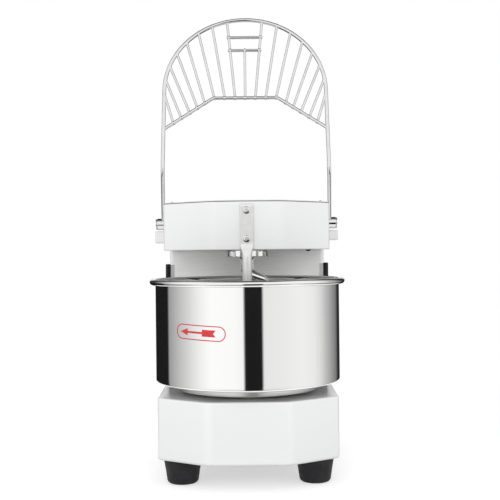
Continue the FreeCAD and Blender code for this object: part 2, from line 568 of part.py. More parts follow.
def bar_section(width, depth, corner, centre_y, z):
    """Outline of the bar at one height: a rounded rectangle, or nearly a circle where its corners meet."""
    half, deep = width / 2, depth / 2
    front, back = centre_y - deep, centre_y + deep
    return rounded_outline([(-half, front), (half, front), (half, back), (-half, back)], [corner] * 4, z)


def make_breaker_bar():
    width, thick = BAR_FLAT
    flat_y = HEAD_FRONT_Y - thick / 2
    blade = prism(bar_section(width, thick, 2.5, flat_y, BAR_FLAT_BOTTOM), BAR_TOP - BAR_FLAT_BOTTOM)
    nearly_round = BAR_DIAMETER / 2 - 0.05
    neck = Part.makeLoft([bar_section(width, thick, 2.5, flat_y, BAR_FLAT_BOTTOM),
                          bar_section(width * 0.97, thick * 1.15, 4.0, flat_y - 0.8, HEAD_BOTTOM - 1),
                          bar_section(BAR_DIAMETER, BAR_DIAMETER, nearly_round, BAR_Y, BAR_ROUND_TOP)], True)
    foot = bar_section(BAR_DIAMETER, BAR_DIAMETER, nearly_round, BAR_Y, BAR_BOTTOM)
    rod = prism(foot, BAR_ROUND_TOP - BAR_BOTTOM)
    rod = rod.makeFillet(4.5, level_edges(rod, BAR_BOTTOM))
    bar = blade.fuse([neck, rod]).removeSplitter()
    for z in BAR_SCREW_Z:
        bar = bar.cut(cylinder(M6_CLEARANCE, V(0, HEAD_FRONT_Y - thick - 1, z), V(0, HEAD_FRONT_Y + 1, z)))
    save("breaker_bar", bar)
    seat = HEAD_FRONT_Y - thick
    save("breaker_bar_screws", *[button_screw(*M6, V(0, seat, z), Y_AXIS * -1, thick + 6)
                                 for z in BAR_SCREW_Z])


# Splash shield behind the bowl
SHIELD_RADIUS, SHIELD_SHEET = 148.0, 1.5
SHIELD_END_DEG = 37.0
SHIELD_HORN = 9.0           # width of the two upright ends that stand above the bowl's rim
SHIELD_TOP, SHIELD_DIP, SHIELD_BOTTOM = 289.0, 263.0, BASE_TOP + 0.5
SHIELD_BOLTS = [(-45.0, 246.0), (45.0, 246.0)]


def make_splash_shield():
    sheet = ring(SHIELD_RADIUS + SHIELD_SHEET, SHIELD_RADIUS, 0, 0, SHIELD_BOTTOM, SHIELD_TOP)
    reach = SHIELD_RADIUS * 2
    end = radians(SHIELD_END_DEG)
    sector = Part.makePolygon([V(0, 0, 0), V(reach * cos(end), reach * sin(end), 0), V(0, reach * 1.5, 0),
                               V(-reach * cos(end), reach * sin(end), 0), V(0, 0, 0)])
    sheet = sheet.common(prism(sector, SHIELD_TOP + 10))
    side = SHIELD_RADIUS * cos(end) - SHIELD_HORN
    above = SHIELD_TOP + 20
    corners = [(-side, SHIELD_DIP), (side, SHIELD_DIP), (side, above), (-side, above)]
    dip = rounded_outline(corners, [10, 10, 0, 0], 0)
    cutter = prism(dip, 400)
    cutter.rotate(V(0, 0, 0), X_AXIS, 90)
    cutter.translate(V(0, 250, 0))
    sheet = sheet.cut(cutter)
    for side in (-1, 1):
        angle = radians(90 - side * (90 - SHIELD_END_DEG))
        middle = SHIELD_RADIUS + SHIELD_SHEET / 2
        foot = V(middle * cos(angle), middle * sin(angle), SHIELD_BOTTOM)
        sheet = sheet.fuse(upright(1.9, foot.x, foot.y, SHIELD_BOTTOM, SHIELD_TOP))
    for x, z in SHIELD_BOLTS:
        sheet = sheet.cut(cylinder(2.6, V(x, 100, z), V(x, 170, z)))
    save("splash_shield", sheet.removeSplitter())
    spacers, bolts = [], []
    for x, z in SHIELD_BOLTS:
        back = V(x, COLUMN_FRONT_Y - COLUMN_PANEL, z)
        tube = cylinder(6, V(x, 120, z), back).cut(cylinder(2.6, V(x, 119, z), back + Y_AXIS))
        spacers.append(tube.cut(upright(SHIELD_RADIUS + SHIELD_SHEET, 0, 0, 200, 300)))
        front = sqrt(SHIELD_RADIUS ** 2 - x ** 2) - 2.2
        bolts.append(cylinder(2.5, V(x, front, z), back + Y_AXIS * 9).fuse(
            cylinder(4.5, V(x, front - 2.4, z), V(x, front, z))).removeSplitter())
    save("shield_spacers", *spacers)
    save("shield_bolts", *bolts)


# Wire guard, drawn closed and swung up to its open stop
HUB_RADIUS, HUB_END, HUB_GAP = 9.0, 141.4, 0.6
PIN_RADIUS, PIN_HEAD, PIN_COLLAR = 4.0, 8.2, 7.0
SWITCH_BLOCK, STOP_BLOCK = (-30.0, -11.0), (-27.5, -11.5)     # bottom and top, from the pivot
BLOCK_REACH, BLOCK_FRONT, BLOCK_DEPTH, BLOCK_ROUND = 144.8, 3.0, 28.0, 3.0
RAIL_FRONT, RAIL_HALF, RAIL_LEG = 187.3, 51.0, 133.3
RUNGS_FORWARD = (273.3, 297.3)
SPOKE_FEET = (16.0, 32.5, 49.0, 64.0, 75.5, 87.5, 100.5, 113.0)     # along the rail, from the middle outwards
FIRST_SPOKE_DEG, SPOKE_STEP_DEG = 12.8, 11.4                        # along the hoop, from its front outwards


def fan_point(x, forward):
    """A point of the closed fan: x across the machine and a distance forward of the pivot."""
    return V(x, GUARD_PIVOT_Y - forward, GUARD_PIVOT_Z - GUARD_DROP)


def rail_point(x):
    slope = (RAIL_FRONT - RAIL_LEG) / (GUARD_RADIUS - RAIL_HALF)
    return fan_point(x, RAIL_FRONT - max(0.0, abs(x) - RAIL_HALF) * slope)


def hoop_point(angle):
    """A point on the hoop's half circle, or beyond it on a leg, at an angle from the front."""
    along = radians(angle)
    across = GUARD_RADIUS * (sin(along) if abs(angle) < 90 else angle / abs(angle))
    return fan_point(across, GUARD_CENTRE + GUARD_RADIUS * cos(along))


def swung_up(shape):
    turned = shape.copy()
    turned.rotate(V(0, GUARD_PIVOT_Y, GUARD_PIVOT_Z), X_AXIS, -GUARD_OPEN_DEG)
    return turned


def hoop_edges():
    pivot = V(0, GUARD_PIVOT_Y, GUARD_PIVOT_Z)
    bend = 30.0
    edges = []
    knee = fan_point(-GUARD_RADIUS, GUARD_KNEE)
    start = pivot - X_AXIS * (GUARD_RADIUS + GUARD_SPREAD)
    back = (start - knee).normalize()
    ahead = Y_AXIS * -1
    half = acos(back.dot(ahead)) / 2
    reach = bend / tan(half)
    middle = knee + (back + ahead).normalize() * (bend / sin(half) - bend)
    first, second = knee + back * reach, knee + ahead * reach
    centre = fan_point(-GUARD_RADIUS, GUARD_CENTRE)
    left = [(start, None, first), (first, middle, second), (second, None, centre)]

    def mirrored(point):
        return V(-point.x, point.y, point.z)

    for a, through, b in left:
        edges.append((Part.Arc(a, through, b) if through else Part.LineSegment(a, b)).toShape())
    edges.append(Part.Arc(centre, fan_point(0, GUARD_CENTRE + GUARD_RADIUS), mirrored(centre)).toShape())
    for a, through, b in reversed(left):
        a, b = mirrored(b), mirrored(a)
        edges.append((Part.Arc(a, mirrored(through), b) if through else Part.LineSegment(a, b)).toShape())
    return edges


def make_guard():
    pins = []
    for side, name in ((-1, "left"), (1, "right")):
        inner = V(side * (HALF_WIDTH + HUB_GAP), GUARD_PIVOT_Y, GUARD_PIVOT_Z)
        outer = V(side * HUB_END, GUARD_PIVOT_Y, GUARD_PIVOT_Z)
        hub = cylinder(HUB_RADIUS, inner, outer)
        hub = hub.makeChamfer(0.8, [e for e in hub.Edges if e.Closed])
        bore = cylinder(PIN_RADIUS + RUNNING_FIT, inner - X_AXIS * side, outer + X_AXIS * side)
        save(f"guard_hub_{name}", hub.cut(bore))
        wall = V(side * (HALF_WIDTH - 8), GUARD_PIVOT_Y, GUARD_PIVOT_Z)
        pin = cylinder(PIN_RADIUS, wall, outer + X_AXIS * side * 0.4)
        head = cylinder(PIN_HEAD, outer + X_AXIS * side * 0.4, outer + X_AXIS * side * 1.6)
        collar = cylinder(PIN_COLLAR, wall, wall + X_AXIS * side * (8 - SHEET))
        pins.append(pin.fuse([head, collar]).removeSplitter())

    save("guard_pins", *pins)

    hoop = swept_rod(hoop_edges(), HOOP_ROD)
    for hub in (-1, 1):
        start = V(hub * (HALF_WIDTH + HUB_GAP), GUARD_PIVOT_Y, GUARD_PIVOT_Z)
        hoop = hoop.cut(cylinder(HUB_RADIUS - 0.4, start - X_AXIS * 30, start + X_AXIS * 60))
    save("guard_hoop", swung_up(hoop))

    ends = [rail_point(-GUARD_RADIUS), rail_point(-RAIL_HALF), rail_point(RAIL_HALF), rail_point(GUARD_RADIUS)]
    save("guard_rail", swung_up(bent_rod(ends, [14, 14], RAIL_ROD)))

    spokes = []
    for side in (-1, 1):
        for i, foot in enumerate(SPOKE_FEET):
            spokes.append((hoop_point(side * (FIRST_SPOKE_DEG + SPOKE_STEP_DEG * i)), rail_point(side * foot)))
    save("guard_spokes", *[swung_up(cylinder(BAR_ROD / 2, a, b)) for a, b in spokes])

    top, foot = hoop_point(FIRST_SPOKE_DEG), rail_point(SPOKE_FEET[0])
    rungs = []
    for forward in RUNGS_FORWARD:
        share = (GUARD_PIVOT_Y - forward - foot.y) / (top.y - foot.y)
        x = foot.x + (top.x - foot.x) * share
        rungs.append(cylinder(RUNG_ROD / 2, fan_point(-x, forward), fan_point(x, forward)))
    stem = cylinder(BAR_ROD / 2, fan_point(0, RUNGS_FORWARD[0]), rail_point(0)).cut(rungs[0])
    save("guard_ladder", *[swung_up(wire) for wire in (*rungs, stem)])

    save("guard_switch_housing", pivot_block(*SWITCH_BLOCK).mirror(V(0, 0, 0), X_AXIS))
    save("guard_stop_block", pivot_block(*STOP_BLOCK))


def pivot_block(low, high):
    """A white block on the head's right side under the guard's hub, with heights counted from the pivot."""
    front = GUARD_PIVOT_Y - BLOCK_FRONT
    corners = [(front, GUARD_PIVOT_Z + low), (front + BLOCK_DEPTH, GUARD_PIVOT_Z + low),
               (front + BLOCK_DEPTH, GUARD_PIVOT_Z + high), (front, GUARD_PIVOT_Z + high)]
    block = prism(rounded_outline(corners, [BLOCK_ROUND] * 4, 0), BLOCK_REACH - HALF_WIDTH)
    block.rotate(V(0, 0, 0), V(1, 1, 1), 120)
    block.translate(V(HALF_WIDTH, 0, 0))
    outer = [e for e in block.Edges if all(abs(v.X - BLOCK_REACH) < 1e-4 for v in e.Vertexes)]
    return block.makeFillet(2.0, outer)


# Drive: gear motor, through shaft, pulleys and belts
GEARBOX_Z0, GEARBOX_Z1 = 262.0, 299.0
MOTOR_Z0 = 128.0
DRIVE_RADIUS, DRIVE_BEARING = 8.0, 16.0
DRIVE_BOTTOM, DRIVE_TOP = 37.5, 364.0
BRACKET_SHEET = 4.0


def make_drive():
    fins = []
    body = upright(MOTOR_RADIUS - 4, MOTOR_X, MOTOR_Y, MOTOR_Z0 + 14, GEARBOX_Z0)
    for i in range(24):
        fin = box(MOTOR_RADIUS - 6, MOTOR_RADIUS, -1.2, 1.2, MOTOR_Z0 + 26, GEARBOX_Z0 - 14)
        fin.rotate(V(0, 0, 0), Z_AXIS, 15 * i)
        fin.translate(V(MOTOR_X, MOTOR_Y, 0))
        fins.append(fin)
    save("motor_housing", body.fuse(fins).removeSplitter())
    fan_cover = upright(MOTOR_RADIUS - 1, MOTOR_X, MOTOR_Y, MOTOR_Z0, MOTOR_Z0 + 14)
    for i in range(3):
        fan_cover = fan_cover.cut(ring(18 + 12 * i, 13 + 12 * i, MOTOR_X, MOTOR_Y, MOTOR_Z0 - 1, MOTOR_Z0 + 6))
    save("motor_fan_cover", fan_cover)

    corners = [(MOTOR_X - 50, 186), (DRIVE_X + 42, 196), (DRIVE_X + 42, 274), (MOTOR_X - 50, 284)]
    gearbox = prism(rounded_outline(corners, [24] * 4, GEARBOX_Z0), GEARBOX_Z1 - GEARBOX_Z0)
    gearbox = gearbox.makeFillet(3.0, level_edges(gearbox, GEARBOX_Z1))
    seat = upright(DRIVE_BEARING, DRIVE_X, DRIVE_Y, GEARBOX_Z0 - 1, GEARBOX_Z1 + 1)
    save("gearbox_housing", gearbox.cut(seat))
    save("drive_bearings", *[bearing(DRIVE_X, DRIVE_Y, DRIVE_BEARING, DRIVE_RADIUS + RUNNING_FIT, z0, z0 + 10)
                             for z0 in (GEARBOX_Z0 + 1, GEARBOX_Z1 - 11)])
    edge = HALF_WIDTH - SHEET
    bracket = box(-edge, edge, 176, 292, GEARBOX_Z1, GEARBOX_Z1 + BRACKET_SHEET)
    passage = upright(DRIVE_BEARING + 4, DRIVE_X, DRIVE_Y, GEARBOX_Z1 - 1, GEARBOX_Z1 + 9)
    save("gearbox_bracket", bracket.cut(passage))
    save("drive_shaft", upright(DRIVE_RADIUS, DRIVE_X, DRIVE_Y, DRIVE_BOTTOM, DRIVE_TOP))
    save("bowl_drive_pulley", pulley(DRIVE_X, DRIVE_Y, BOWL_DRIVE_PULLEY, DRIVE_RADIUS, 12, LOWER_BELT_Z))
    save("spiral_drive_pulley", pulley(DRIVE_X, DRIVE_Y, SPIRAL_DRIVE_PULLEY, DRIVE_RADIUS, 16, UPPER_BELT_Z))
    axle = (DRIVE_X, DRIVE_Y)
    save("bowl_belt", belt((0, 0), BOWL_PULLEY, axle, BOWL_DRIVE_PULLEY, LOWER_BELT_Z))
    save("spiral_belt", belt((0, SPIRAL_Y), SPIRAL_PULLEY, axle, SPIRAL_DRIVE_PULLEY, UPPER_BELT_Z))


# Controls on the right side of the column
PANEL_THICK = 1.0
BUTTON_TRAVEL = 4.0


def sideways(radius, x0, x1, z):
    return cylinder(radius, V(x0, CONTROL_Y, z), V(x1, CONTROL_Y, z))


def make_controls():
    face = HALF_WIDTH + PANEL_THICK
    corners = [(CONTROL_Y - 27, STOP_Z - 26), (CONTROL_Y + 27, STOP_Z - 26), (CONTROL_Y + 27, KNOB_Z + 30),
               (CONTROL_Y - 27, KNOB_Z + 30)]
    plate = prism(rounded_outline(corners, [6] * 4, 0), PANEL_THICK)
    plate.rotate(V(0, 0, 0), V(1, 1, 1), 120)
    plate.translate(V(HALF_WIDTH, 0, 0))
    for z in (START_Z, STOP_Z):
        plate = plate.cut(sideways(BUTTON_HOLE, HALF_WIDTH - 1, face + 1, z))
    save("control_panel", plate.cut(sideways(KNOB_HOLE, HALF_WIDTH - 1, face + 1, KNOB_Z)))

    bezels = []
    for z in (START_Z, STOP_Z):
        rim = sideways(15.5, face, face + 4, z).fuse(sideways(BUTTON_HOLE - 0.2, HALF_WIDTH - 10, face, z))
        bezels.append(rim.removeSplitter().cut(sideways(BUTTON_RADIUS + 0.4, HALF_WIDTH - 11, face + 5, z)))
    save("button_bezels", *bezels)
    for name, z, proud in (("start_button", START_Z, 6.0), ("stop_button", STOP_Z, 9.0)):
        cap = sideways(BUTTON_RADIUS, HALF_WIDTH - 6, face + proud, z)
        tip = [e for e in cap.Edges if e.Closed and abs(e.Vertexes[0].X - face - proud) < 1e-4]
        save(name, cap.makeFillet(1.6, tip))

    grip = sideways(17, face + 1.0, face + 16, KNOB_Z)
    tip = [e for e in grip.Edges if e.Closed and abs(e.Vertexes[0].X - face - 16) < 1e-4]
    grip = grip.makeFillet(2.0, tip)
    for i in range(18):
        groove = sideways(1.6, face + 4, face + 17, KNOB_Z)
        groove.translate(V(0, 17.6 * cos(radians(20 * i)), 17.6 * sin(radians(20 * i))))
        grip = grip.cut(groove)
    pointer = box(face + 15.2, face + 17, CONTROL_Y - 0.9, CONTROL_Y + 0.9, KNOB_Z + 4, KNOB_Z + 14)
    shaft = sideways(KNOB_SHAFT_RADIUS, HALF_WIDTH - 18, face + 1.0, KNOB_Z)
    save("timer_knob", grip.cut(pointer).fuse(shaft).removeSplitter())
    timer_body = box(84, HALF_WIDTH - 8, CONTROL_Y - 18, CONTROL_Y + 18, KNOB_Z - 14, KNOB_Z + 16).cut(
        sideways(KNOB_SHAFT_RADIUS + RUNNING_FIT, HALF_WIDTH - 19, HALF_WIDTH, KNOB_Z))
    blocks = [box(86, HALF_WIDTH - 6 - BUTTON_TRAVEL - 0.6, CONTROL_Y - 13, CONTROL_Y + 13, z - 13, z + 13)
              for z in (START_Z, STOP_Z)]
    save("switch_blocks", timer_body, *blocks)


def main():
    os.makedirs("parts", exist_ok=True)
    make_base()
    make_column()
    make_head()
    make_rear_cover()
    make_feet()
    make_bowl()
    make_spiral()
    make_breaker_bar()
    make_splash_shield()
    make_guard()
    make_drive()
    make_controls()
    print("origin shift", ORIGIN_SHIFT, "rear reach", REACH_REAR, "front reach", REACH_FRONT)


main()
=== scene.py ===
import json
from math import atan2, copysign, cos, hypot, pi, radians, sin, sqrt, tan
import bmesh
import bpy
from mathutils import Matrix, Vector


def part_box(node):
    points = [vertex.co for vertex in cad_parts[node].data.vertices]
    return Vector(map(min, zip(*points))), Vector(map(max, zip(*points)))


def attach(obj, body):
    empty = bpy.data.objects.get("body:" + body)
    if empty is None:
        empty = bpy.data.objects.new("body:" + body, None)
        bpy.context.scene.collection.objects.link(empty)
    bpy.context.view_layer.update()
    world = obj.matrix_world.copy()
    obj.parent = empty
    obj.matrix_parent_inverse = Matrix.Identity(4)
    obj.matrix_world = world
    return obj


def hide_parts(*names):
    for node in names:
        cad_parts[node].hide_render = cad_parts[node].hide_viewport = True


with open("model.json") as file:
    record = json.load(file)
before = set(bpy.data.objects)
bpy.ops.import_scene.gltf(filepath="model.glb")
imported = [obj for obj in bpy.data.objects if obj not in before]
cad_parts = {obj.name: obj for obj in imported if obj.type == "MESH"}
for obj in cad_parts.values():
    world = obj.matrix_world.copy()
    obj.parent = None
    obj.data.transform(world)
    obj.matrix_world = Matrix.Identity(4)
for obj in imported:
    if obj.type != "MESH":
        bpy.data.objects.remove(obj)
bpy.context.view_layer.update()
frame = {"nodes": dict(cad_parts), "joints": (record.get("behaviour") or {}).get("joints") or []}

nodes = frame["nodes"]
joints = {joint["name"]: joint for joint in frame["joints"]}

# Rubber feet: four tapered black mouldings with a rounded sole and a small round recess in it.
# A stud moulded into each foot pulls its flat top up against the casing's bottom flange.
MM = 0.001
FOOT_TOP_RADIUS, FOOT_SOLE_RADIUS, FOOT_ROUND = 25.0 * MM, 20.5 * MM, 5.0 * MM
FOOT_FLARE, FOOT_SHOULDER, FOOT_SHOULDER_IN, FOOT_TOP_EDGE = 2.2 * MM, 3.2 * MM, 0.1 * MM, 0.6 * MM
SOLE_RECESS_RADIUS, SOLE_RECESS_DEPTH = 7.0 * MM, 3.0 * MM
FOOT_SIDES, FOOT_ROUND_CUTS = 72, 8
# Noise lies mostly between these two values, so patterns are spread over them
NOISE_LOW, NOISE_HIGH = 0.3, 0.7


def new_finish(name, color, metallic, roughness):
    """A material with one surface shader, and that shader's node tree."""
    material = bpy.data.materials.new(name)
    material.use_nodes = True
    tree = material.node_tree
    shader = tree.nodes["Principled BSDF"]
    shader.inputs["Base Color"].default_value = (*color, 1)
    shader.inputs["Metallic"].default_value = metallic
    shader.inputs["Roughness"].default_value = roughness
    return material, tree, shader


def grain(tree, scale, stretch=(1, 1, 1), detail=3.0):
    """Noise fixed to the piece, drawn out along the axes with a small stretch."""
    place = tree.nodes.new("ShaderNodeTexCoord")
    mapping = tree.nodes.new("ShaderNodeMapping")
    mapping.inputs["Scale"].default_value = stretch
    texture = tree.nodes.new("ShaderNodeTexNoise")
    texture.inputs["Scale"].default_value = scale
    texture.inputs["Detail"].default_value = detail
    tree.links.new(place.outputs["Object"], mapping.inputs["Vector"])
    tree.links.new(mapping.outputs["Vector"], texture.inputs["Vector"])
    return texture.outputs["Fac"]


def vary_color(tree, shader, factor, dark, light):
    """Lets a pattern take the surface from a dark colour to a light one."""
    ramp = tree.nodes.new("ShaderNodeValToRGB")
    for end, position, color in zip(ramp.color_ramp.elements, (NOISE_LOW, NOISE_HIGH), (dark, light)):
        end.position, end.color = position, (*color, 1)
    tree.links.new(factor, ramp.inputs["Fac"])
    tree.links.new(ramp.outputs["Color"], shader.inputs["Base Color"])


def vary_roughness(tree, shader, factor, low, high):
    """Lets a pattern take the surface from one roughness to another."""
    spread = tree.nodes.new("ShaderNodeMapRange")
    spread.inputs["From Min"].default_value = NOISE_LOW
    spread.inputs["From Max"].default_value = NOISE_HIGH
    spread.inputs["To Min"].default_value = low
    spread.inputs["To Max"].default_value = high
    tree.links.new(factor, spread.inputs["Value"])
    tree.links.new(spread.outputs["Result"], shader.inputs["Roughness"])


def add_bump(tree, shader, factor, strength, distance):
    """Lets a pattern raise the surface by a distance that is too fine to model."""
    bump = tree.nodes.new("ShaderNodeBump")
    bump.inputs["Strength"].default_value = strength
    bump.inputs["Distance"].default_value = distance
    tree.links.new(factor, bump.inputs["Height"])
    tree.links.new(bump.outputs["Normal"], shader.inputs["Normal"])


def spun(bm, profile, place, steps, rounds=()):
    """Turns (radius, height) points once round an upright axis, rounds some of the rings, and moves the result."""
    before = set(bm.verts)
    corners = [bm.verts.new((radius, 0, height)) for radius, height in profile]
    edges = [bm.edges.new(pair) for pair in zip(corners, corners[1:])]
    bmesh.ops.spin(bm, geom=corners + edges, cent=(0, 0, 0), axis=(0, 0, 1), angle=2 * pi, steps=steps, use_merge=True)
    bmesh.ops.remove_doubles(bm, verts=[v for v in bm.verts if v not in before], dist=1e-7)
    for (radius, height), offset, segments in rounds:
        near = {v for v in bm.verts if v not in before and abs(hypot(v.co.x, v.co.y) - radius) < 1e-6
                and abs(v.co.z - height) < 1e-6}
        ring = [e for e in bm.edges if e.verts[0] in near and e.verts[1] in near]
        bmesh.ops.bevel(bm, geom=ring, offset=offset, segments=segments, profile=0.5, affect="EDGES", material=-1)
    bmesh.ops.transform(bm, matrix=place, verts=[v for v in bm.verts if v not in before])


def add_piece(name, bm, finish, body, replaced=(), crease=35):
    """Closes a mesh, turns its faces outwards and hands it to the body that carries it."""
    bmesh.ops.remove_doubles(bm, verts=bm.verts, dist=1e-6)
    bmesh.ops.recalc_face_normals(bm, faces=bm.faces)
    for face in bm.faces:
        face.smooth = True
    mesh = bpy.data.meshes.new(name)
    bm.to_mesh(mesh)
    bm.free()
    mesh.set_sharp_from_angle(angle=radians(crease))
    mesh.materials.append(finish)
    piece = bpy.data.objects.new(name, mesh)
    bpy.context.scene.collection.objects.link(piece)
    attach(piece, body)
    if replaced:
        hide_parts(*replaced)


black_rubber, tree, shader = new_finish("black_rubber", (0.012, 0.012, 0.013), 0.0, 0.58)
vary_color(tree, shader, grain(tree, 70), (0.008, 0.008, 0.009), (0.018, 0.018, 0.02))
vary_roughness(tree, shader, grain(tree, 180), 0.46, 0.68)
add_bump(tree, shader, grain(tree, 1400), 0.12, 0.0002)
shader.inputs["Specular IOR Level"].default_value = 0.25

feet_low, feet_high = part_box("rubber_feet")
foot_height = feet_high[2]
sole_edge = (FOOT_SOLE_RADIUS, 0)
foot_profile = [(0, SOLE_RECESS_DEPTH), (SOLE_RECESS_RADIUS, SOLE_RECESS_DEPTH), (SOLE_RECESS_RADIUS, 0), sole_edge,
                (FOOT_SOLE_RADIUS + FOOT_FLARE, 0.5 * foot_height),
                (FOOT_TOP_RADIUS - FOOT_SHOULDER_IN, foot_height - FOOT_SHOULDER),
                (FOOT_TOP_RADIUS, foot_height - FOOT_TOP_EDGE), (FOOT_TOP_RADIUS - FOOT_TOP_EDGE, foot_height),
                (0, foot_height)]
bm = bmesh.new()
for x in (feet_low[0] + FOOT_TOP_RADIUS, feet_high[0] - FOOT_TOP_RADIUS):
    for y in (feet_low[1] + FOOT_TOP_RADIUS, feet_high[1] - FOOT_TOP_RADIUS):
        spun(bm, foot_profile, Matrix.Translation((x, y, 0)), FOOT_SIDES,
             [(sole_edge, FOOT_ROUND, FOOT_ROUND_CUTS)])
add_piece("rubber_feet_moulded", bm, black_rubber, "casing", ["rubber_feet"])


# Casing: folded and welded steel sheet for base, column, head and rear cover, with faceted fronts.
# White powder coat covers it, a smooth gloss with a faint orange peel.
def dress(finish, *names):
    """Gives solids of the frame their finish."""
    for name in names:
        slots = nodes[name].data.materials
        slots.clear()
        slots.append(finish)


white_paint, tree, shader = new_finish("white_paint", (0.86, 0.865, 0.865), 0.0, 0.14)
vary_color(tree, shader, grain(tree, 5), (0.852, 0.858, 0.857), (0.864, 0.869, 0.868))
vary_roughness(tree, shader, grain(tree, 14), 0.12, 0.17)
add_bump(tree, shader, grain(tree, 650, detail=1.0), 0.06, 0.0002)
dress(white_paint, "base_shell", "column_shell", "head_shell", "rear_cover")


# Rear louvres: a lip over each vent slot of the rear cover, pressed out of the same sheet.
# Each lip slopes outwards from its top edge and throws drips and flour dust clear of the slot.
cover_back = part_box("rear_cover")[1][1]
LOUVRES, LOUVRE_FIRST, LOUVRE_STEP = 9, 196 * MM, 12 * MM
LOUVRE_WIDE, LOUVRE_TALL, LOUVRE_REACH, LOUVRE_ROUND = 144 * MM, 6.5 * MM, 3.0 * MM, 0.8 * MM
LOUVRE_TAPER, LOUVRE_SLOPE = 4.0 * MM, 0.85
bm = bmesh.new()
for row in range(LOUVRES):
    low = LOUVRE_FIRST + LOUVRE_STEP * row
    place = Matrix.Translation((0, cover_back + LOUVRE_REACH / 2, low + LOUVRE_TALL / 2))
    size = Matrix.Diagonal((LOUVRE_WIDE, LOUVRE_REACH, LOUVRE_TALL, 1))
    lip = bmesh.ops.create_cube(bm, size=1.0, matrix=place @ size)["verts"]
    outer = [v for v in lip if v.co.y > cover_back + LOUVRE_REACH / 2]
    for v in outer:
        v.co.x -= copysign(LOUVRE_TAPER, v.co.x)
    upper = [v for v in outer if v.co.z > low + LOUVRE_TALL / 2]
    bmesh.ops.translate(bm, vec=(0, -LOUVRE_SLOPE * LOUVRE_REACH, 0), verts=upper)
    long_edges = [e for e in {e for v in outer for e in v.link_edges} if all(v in outer for v in e.verts)]
    bmesh.ops.bevel(bm, geom=long_edges, offset=LOUVRE_ROUND, segments=3, profile=0.5, affect="EDGES", material=-1)
add_piece("rear_louvres", bm, white_paint, "casing", crease=50)


# Stainless sheets: the plate on the column's front, the head's cover and the splash shield.
# They are cut from sheet brushed in one direction, so their fine scratches run level.
brushed_stainless, tree, shader = new_finish("brushed_stainless", (0.9, 0.9, 0.89), 0.5, 0.4)
scratches = grain(tree, 60, (1, 30, 30), 6.0)
vary_color(tree, shader, scratches, (0.83, 0.83, 0.825), (0.93, 0.93, 0.92))
vary_roughness(tree, shader, scratches, 0.34, 0.46)
add_bump(tree, shader, grain(tree, 90, (0.6, 40, 40), 4.0), 0.06, 0.0001)
dress(brushed_stainless, "column_front_panel", "head_cover", "splash_shield")


# Screws, pins, shafts and bearings: turned from bright steel and plated, or ground where they run.
# The cover screws stand on top of the head, and the others hold the shield, the bearings and the pulleys.
bright_steel, tree, shader = new_finish("bright_steel", (0.78, 0.78, 0.77), 1.0, 0.18)
vary_color(tree, shader, grain(tree, 200), (0.73, 0.73, 0.72), (0.83, 0.83, 0.82))
vary_roughness(tree, shader, grain(tree, 400), 0.14, 0.24)
dress(bright_steel, "head_cover_screws", "rear_cover_screws", "bowl_housing_screws", "spiral_housing_screws",
      "shield_spacers", "shield_bolts", "guard_pins", "bowl_shaft", "spiral_shaft", "drive_shaft", "spiral_shaft_nut",
      "bowl_bearings", "spiral_bearings", "drive_bearings", "foot_studs", "foot_nuts")


# Bowl: spun from one stainless sheet, its top edge rolled outwards into a bead and its bottom edge turned tight.
# The outside and the bead are mirror-polished; the inside is a rougher satin, and everything nearer the axis than the
# outer wall is darkened as painted shade.
BOWL_RADIUS, BOWL_WALL, BOWL_CORNER, BEAD_RADIUS = 128.0 * MM, 1.5 * MM, 3.0 * MM, 4.1 * MM
BOWL_SIDES, WALL_LOOPS, BOWL_FLAT_EDGE = 240, 16, 8 * MM
BEAD_TURNS_DEG, BEAD_GAP_INSIDE, BEAD_GAP_OUTSIDE = range(168, -164, -8), 4 * MM, 3 * MM
bowl_low, bowl_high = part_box("bowl")
bowl_axis_y = joints["bowl_spin"]["pos_m"][1]
bowl_place = Matrix.Translation((0, bowl_axis_y, 0))

polished_stainless, tree, shader = new_finish("polished_stainless", (0.9, 0.9, 0.895), 1.0, 0.05)
vary_roughness(tree, shader, grain(tree, 30, (0.2, 0.2, 12)), 0.035, 0.075)
add_bump(tree, shader, grain(tree, 120, (0.1, 0.1, 6), 2.0), 0.012, 0.0001)

bowl_steel_shaded_inside, tree, shader = new_finish("bowl_steel_shaded_inside", (0.9, 0.9, 0.895), 1.0, 0.05)
place = tree.nodes.new("ShaderNodeTexCoord")
from_axis = tree.nodes.new("ShaderNodeMapping")
from_axis.inputs["Location"].default_value = (0, -bowl_axis_y, 0)
from_axis.inputs["Scale"].default_value = (1, 1, 0)
distance = tree.nodes.new("ShaderNodeVectorMath")
distance.operation = "LENGTH"
outside = tree.nodes.new("ShaderNodeMapRange")
outside.inputs["From Min"].default_value = BOWL_RADIUS - 0.9 * BOWL_WALL
outside.inputs["From Max"].default_value = BOWL_RADIUS - 0.5 * BOWL_WALL
outside.inputs["To Min"].default_value = NOISE_LOW
outside.inputs["To Max"].default_value = NOISE_HIGH
tree.links.new(place.outputs["Object"], from_axis.inputs["Vector"])
tree.links.new(from_axis.outputs["Vector"], distance.inputs[0])
tree.links.new(distance.outputs["Value"], outside.inputs["Value"])
# Painted shade: the inside and the bottom, nearer the axis than the outer wall, get about half the outer wall's colour,
# standing in for the dark inside of the bowl
vary_color(tree, shader, outside.outputs["Result"], (0.45, 0.45, 0.445), (0.9, 0.9, 0.895))
vary_roughness(tree, shader, outside.outputs["Result"], 0.24, 0.05)
add_bump(tree, shader, grain(tree, 120, (0.1, 0.1, 6), 2.0), 0.012, 0.0001)

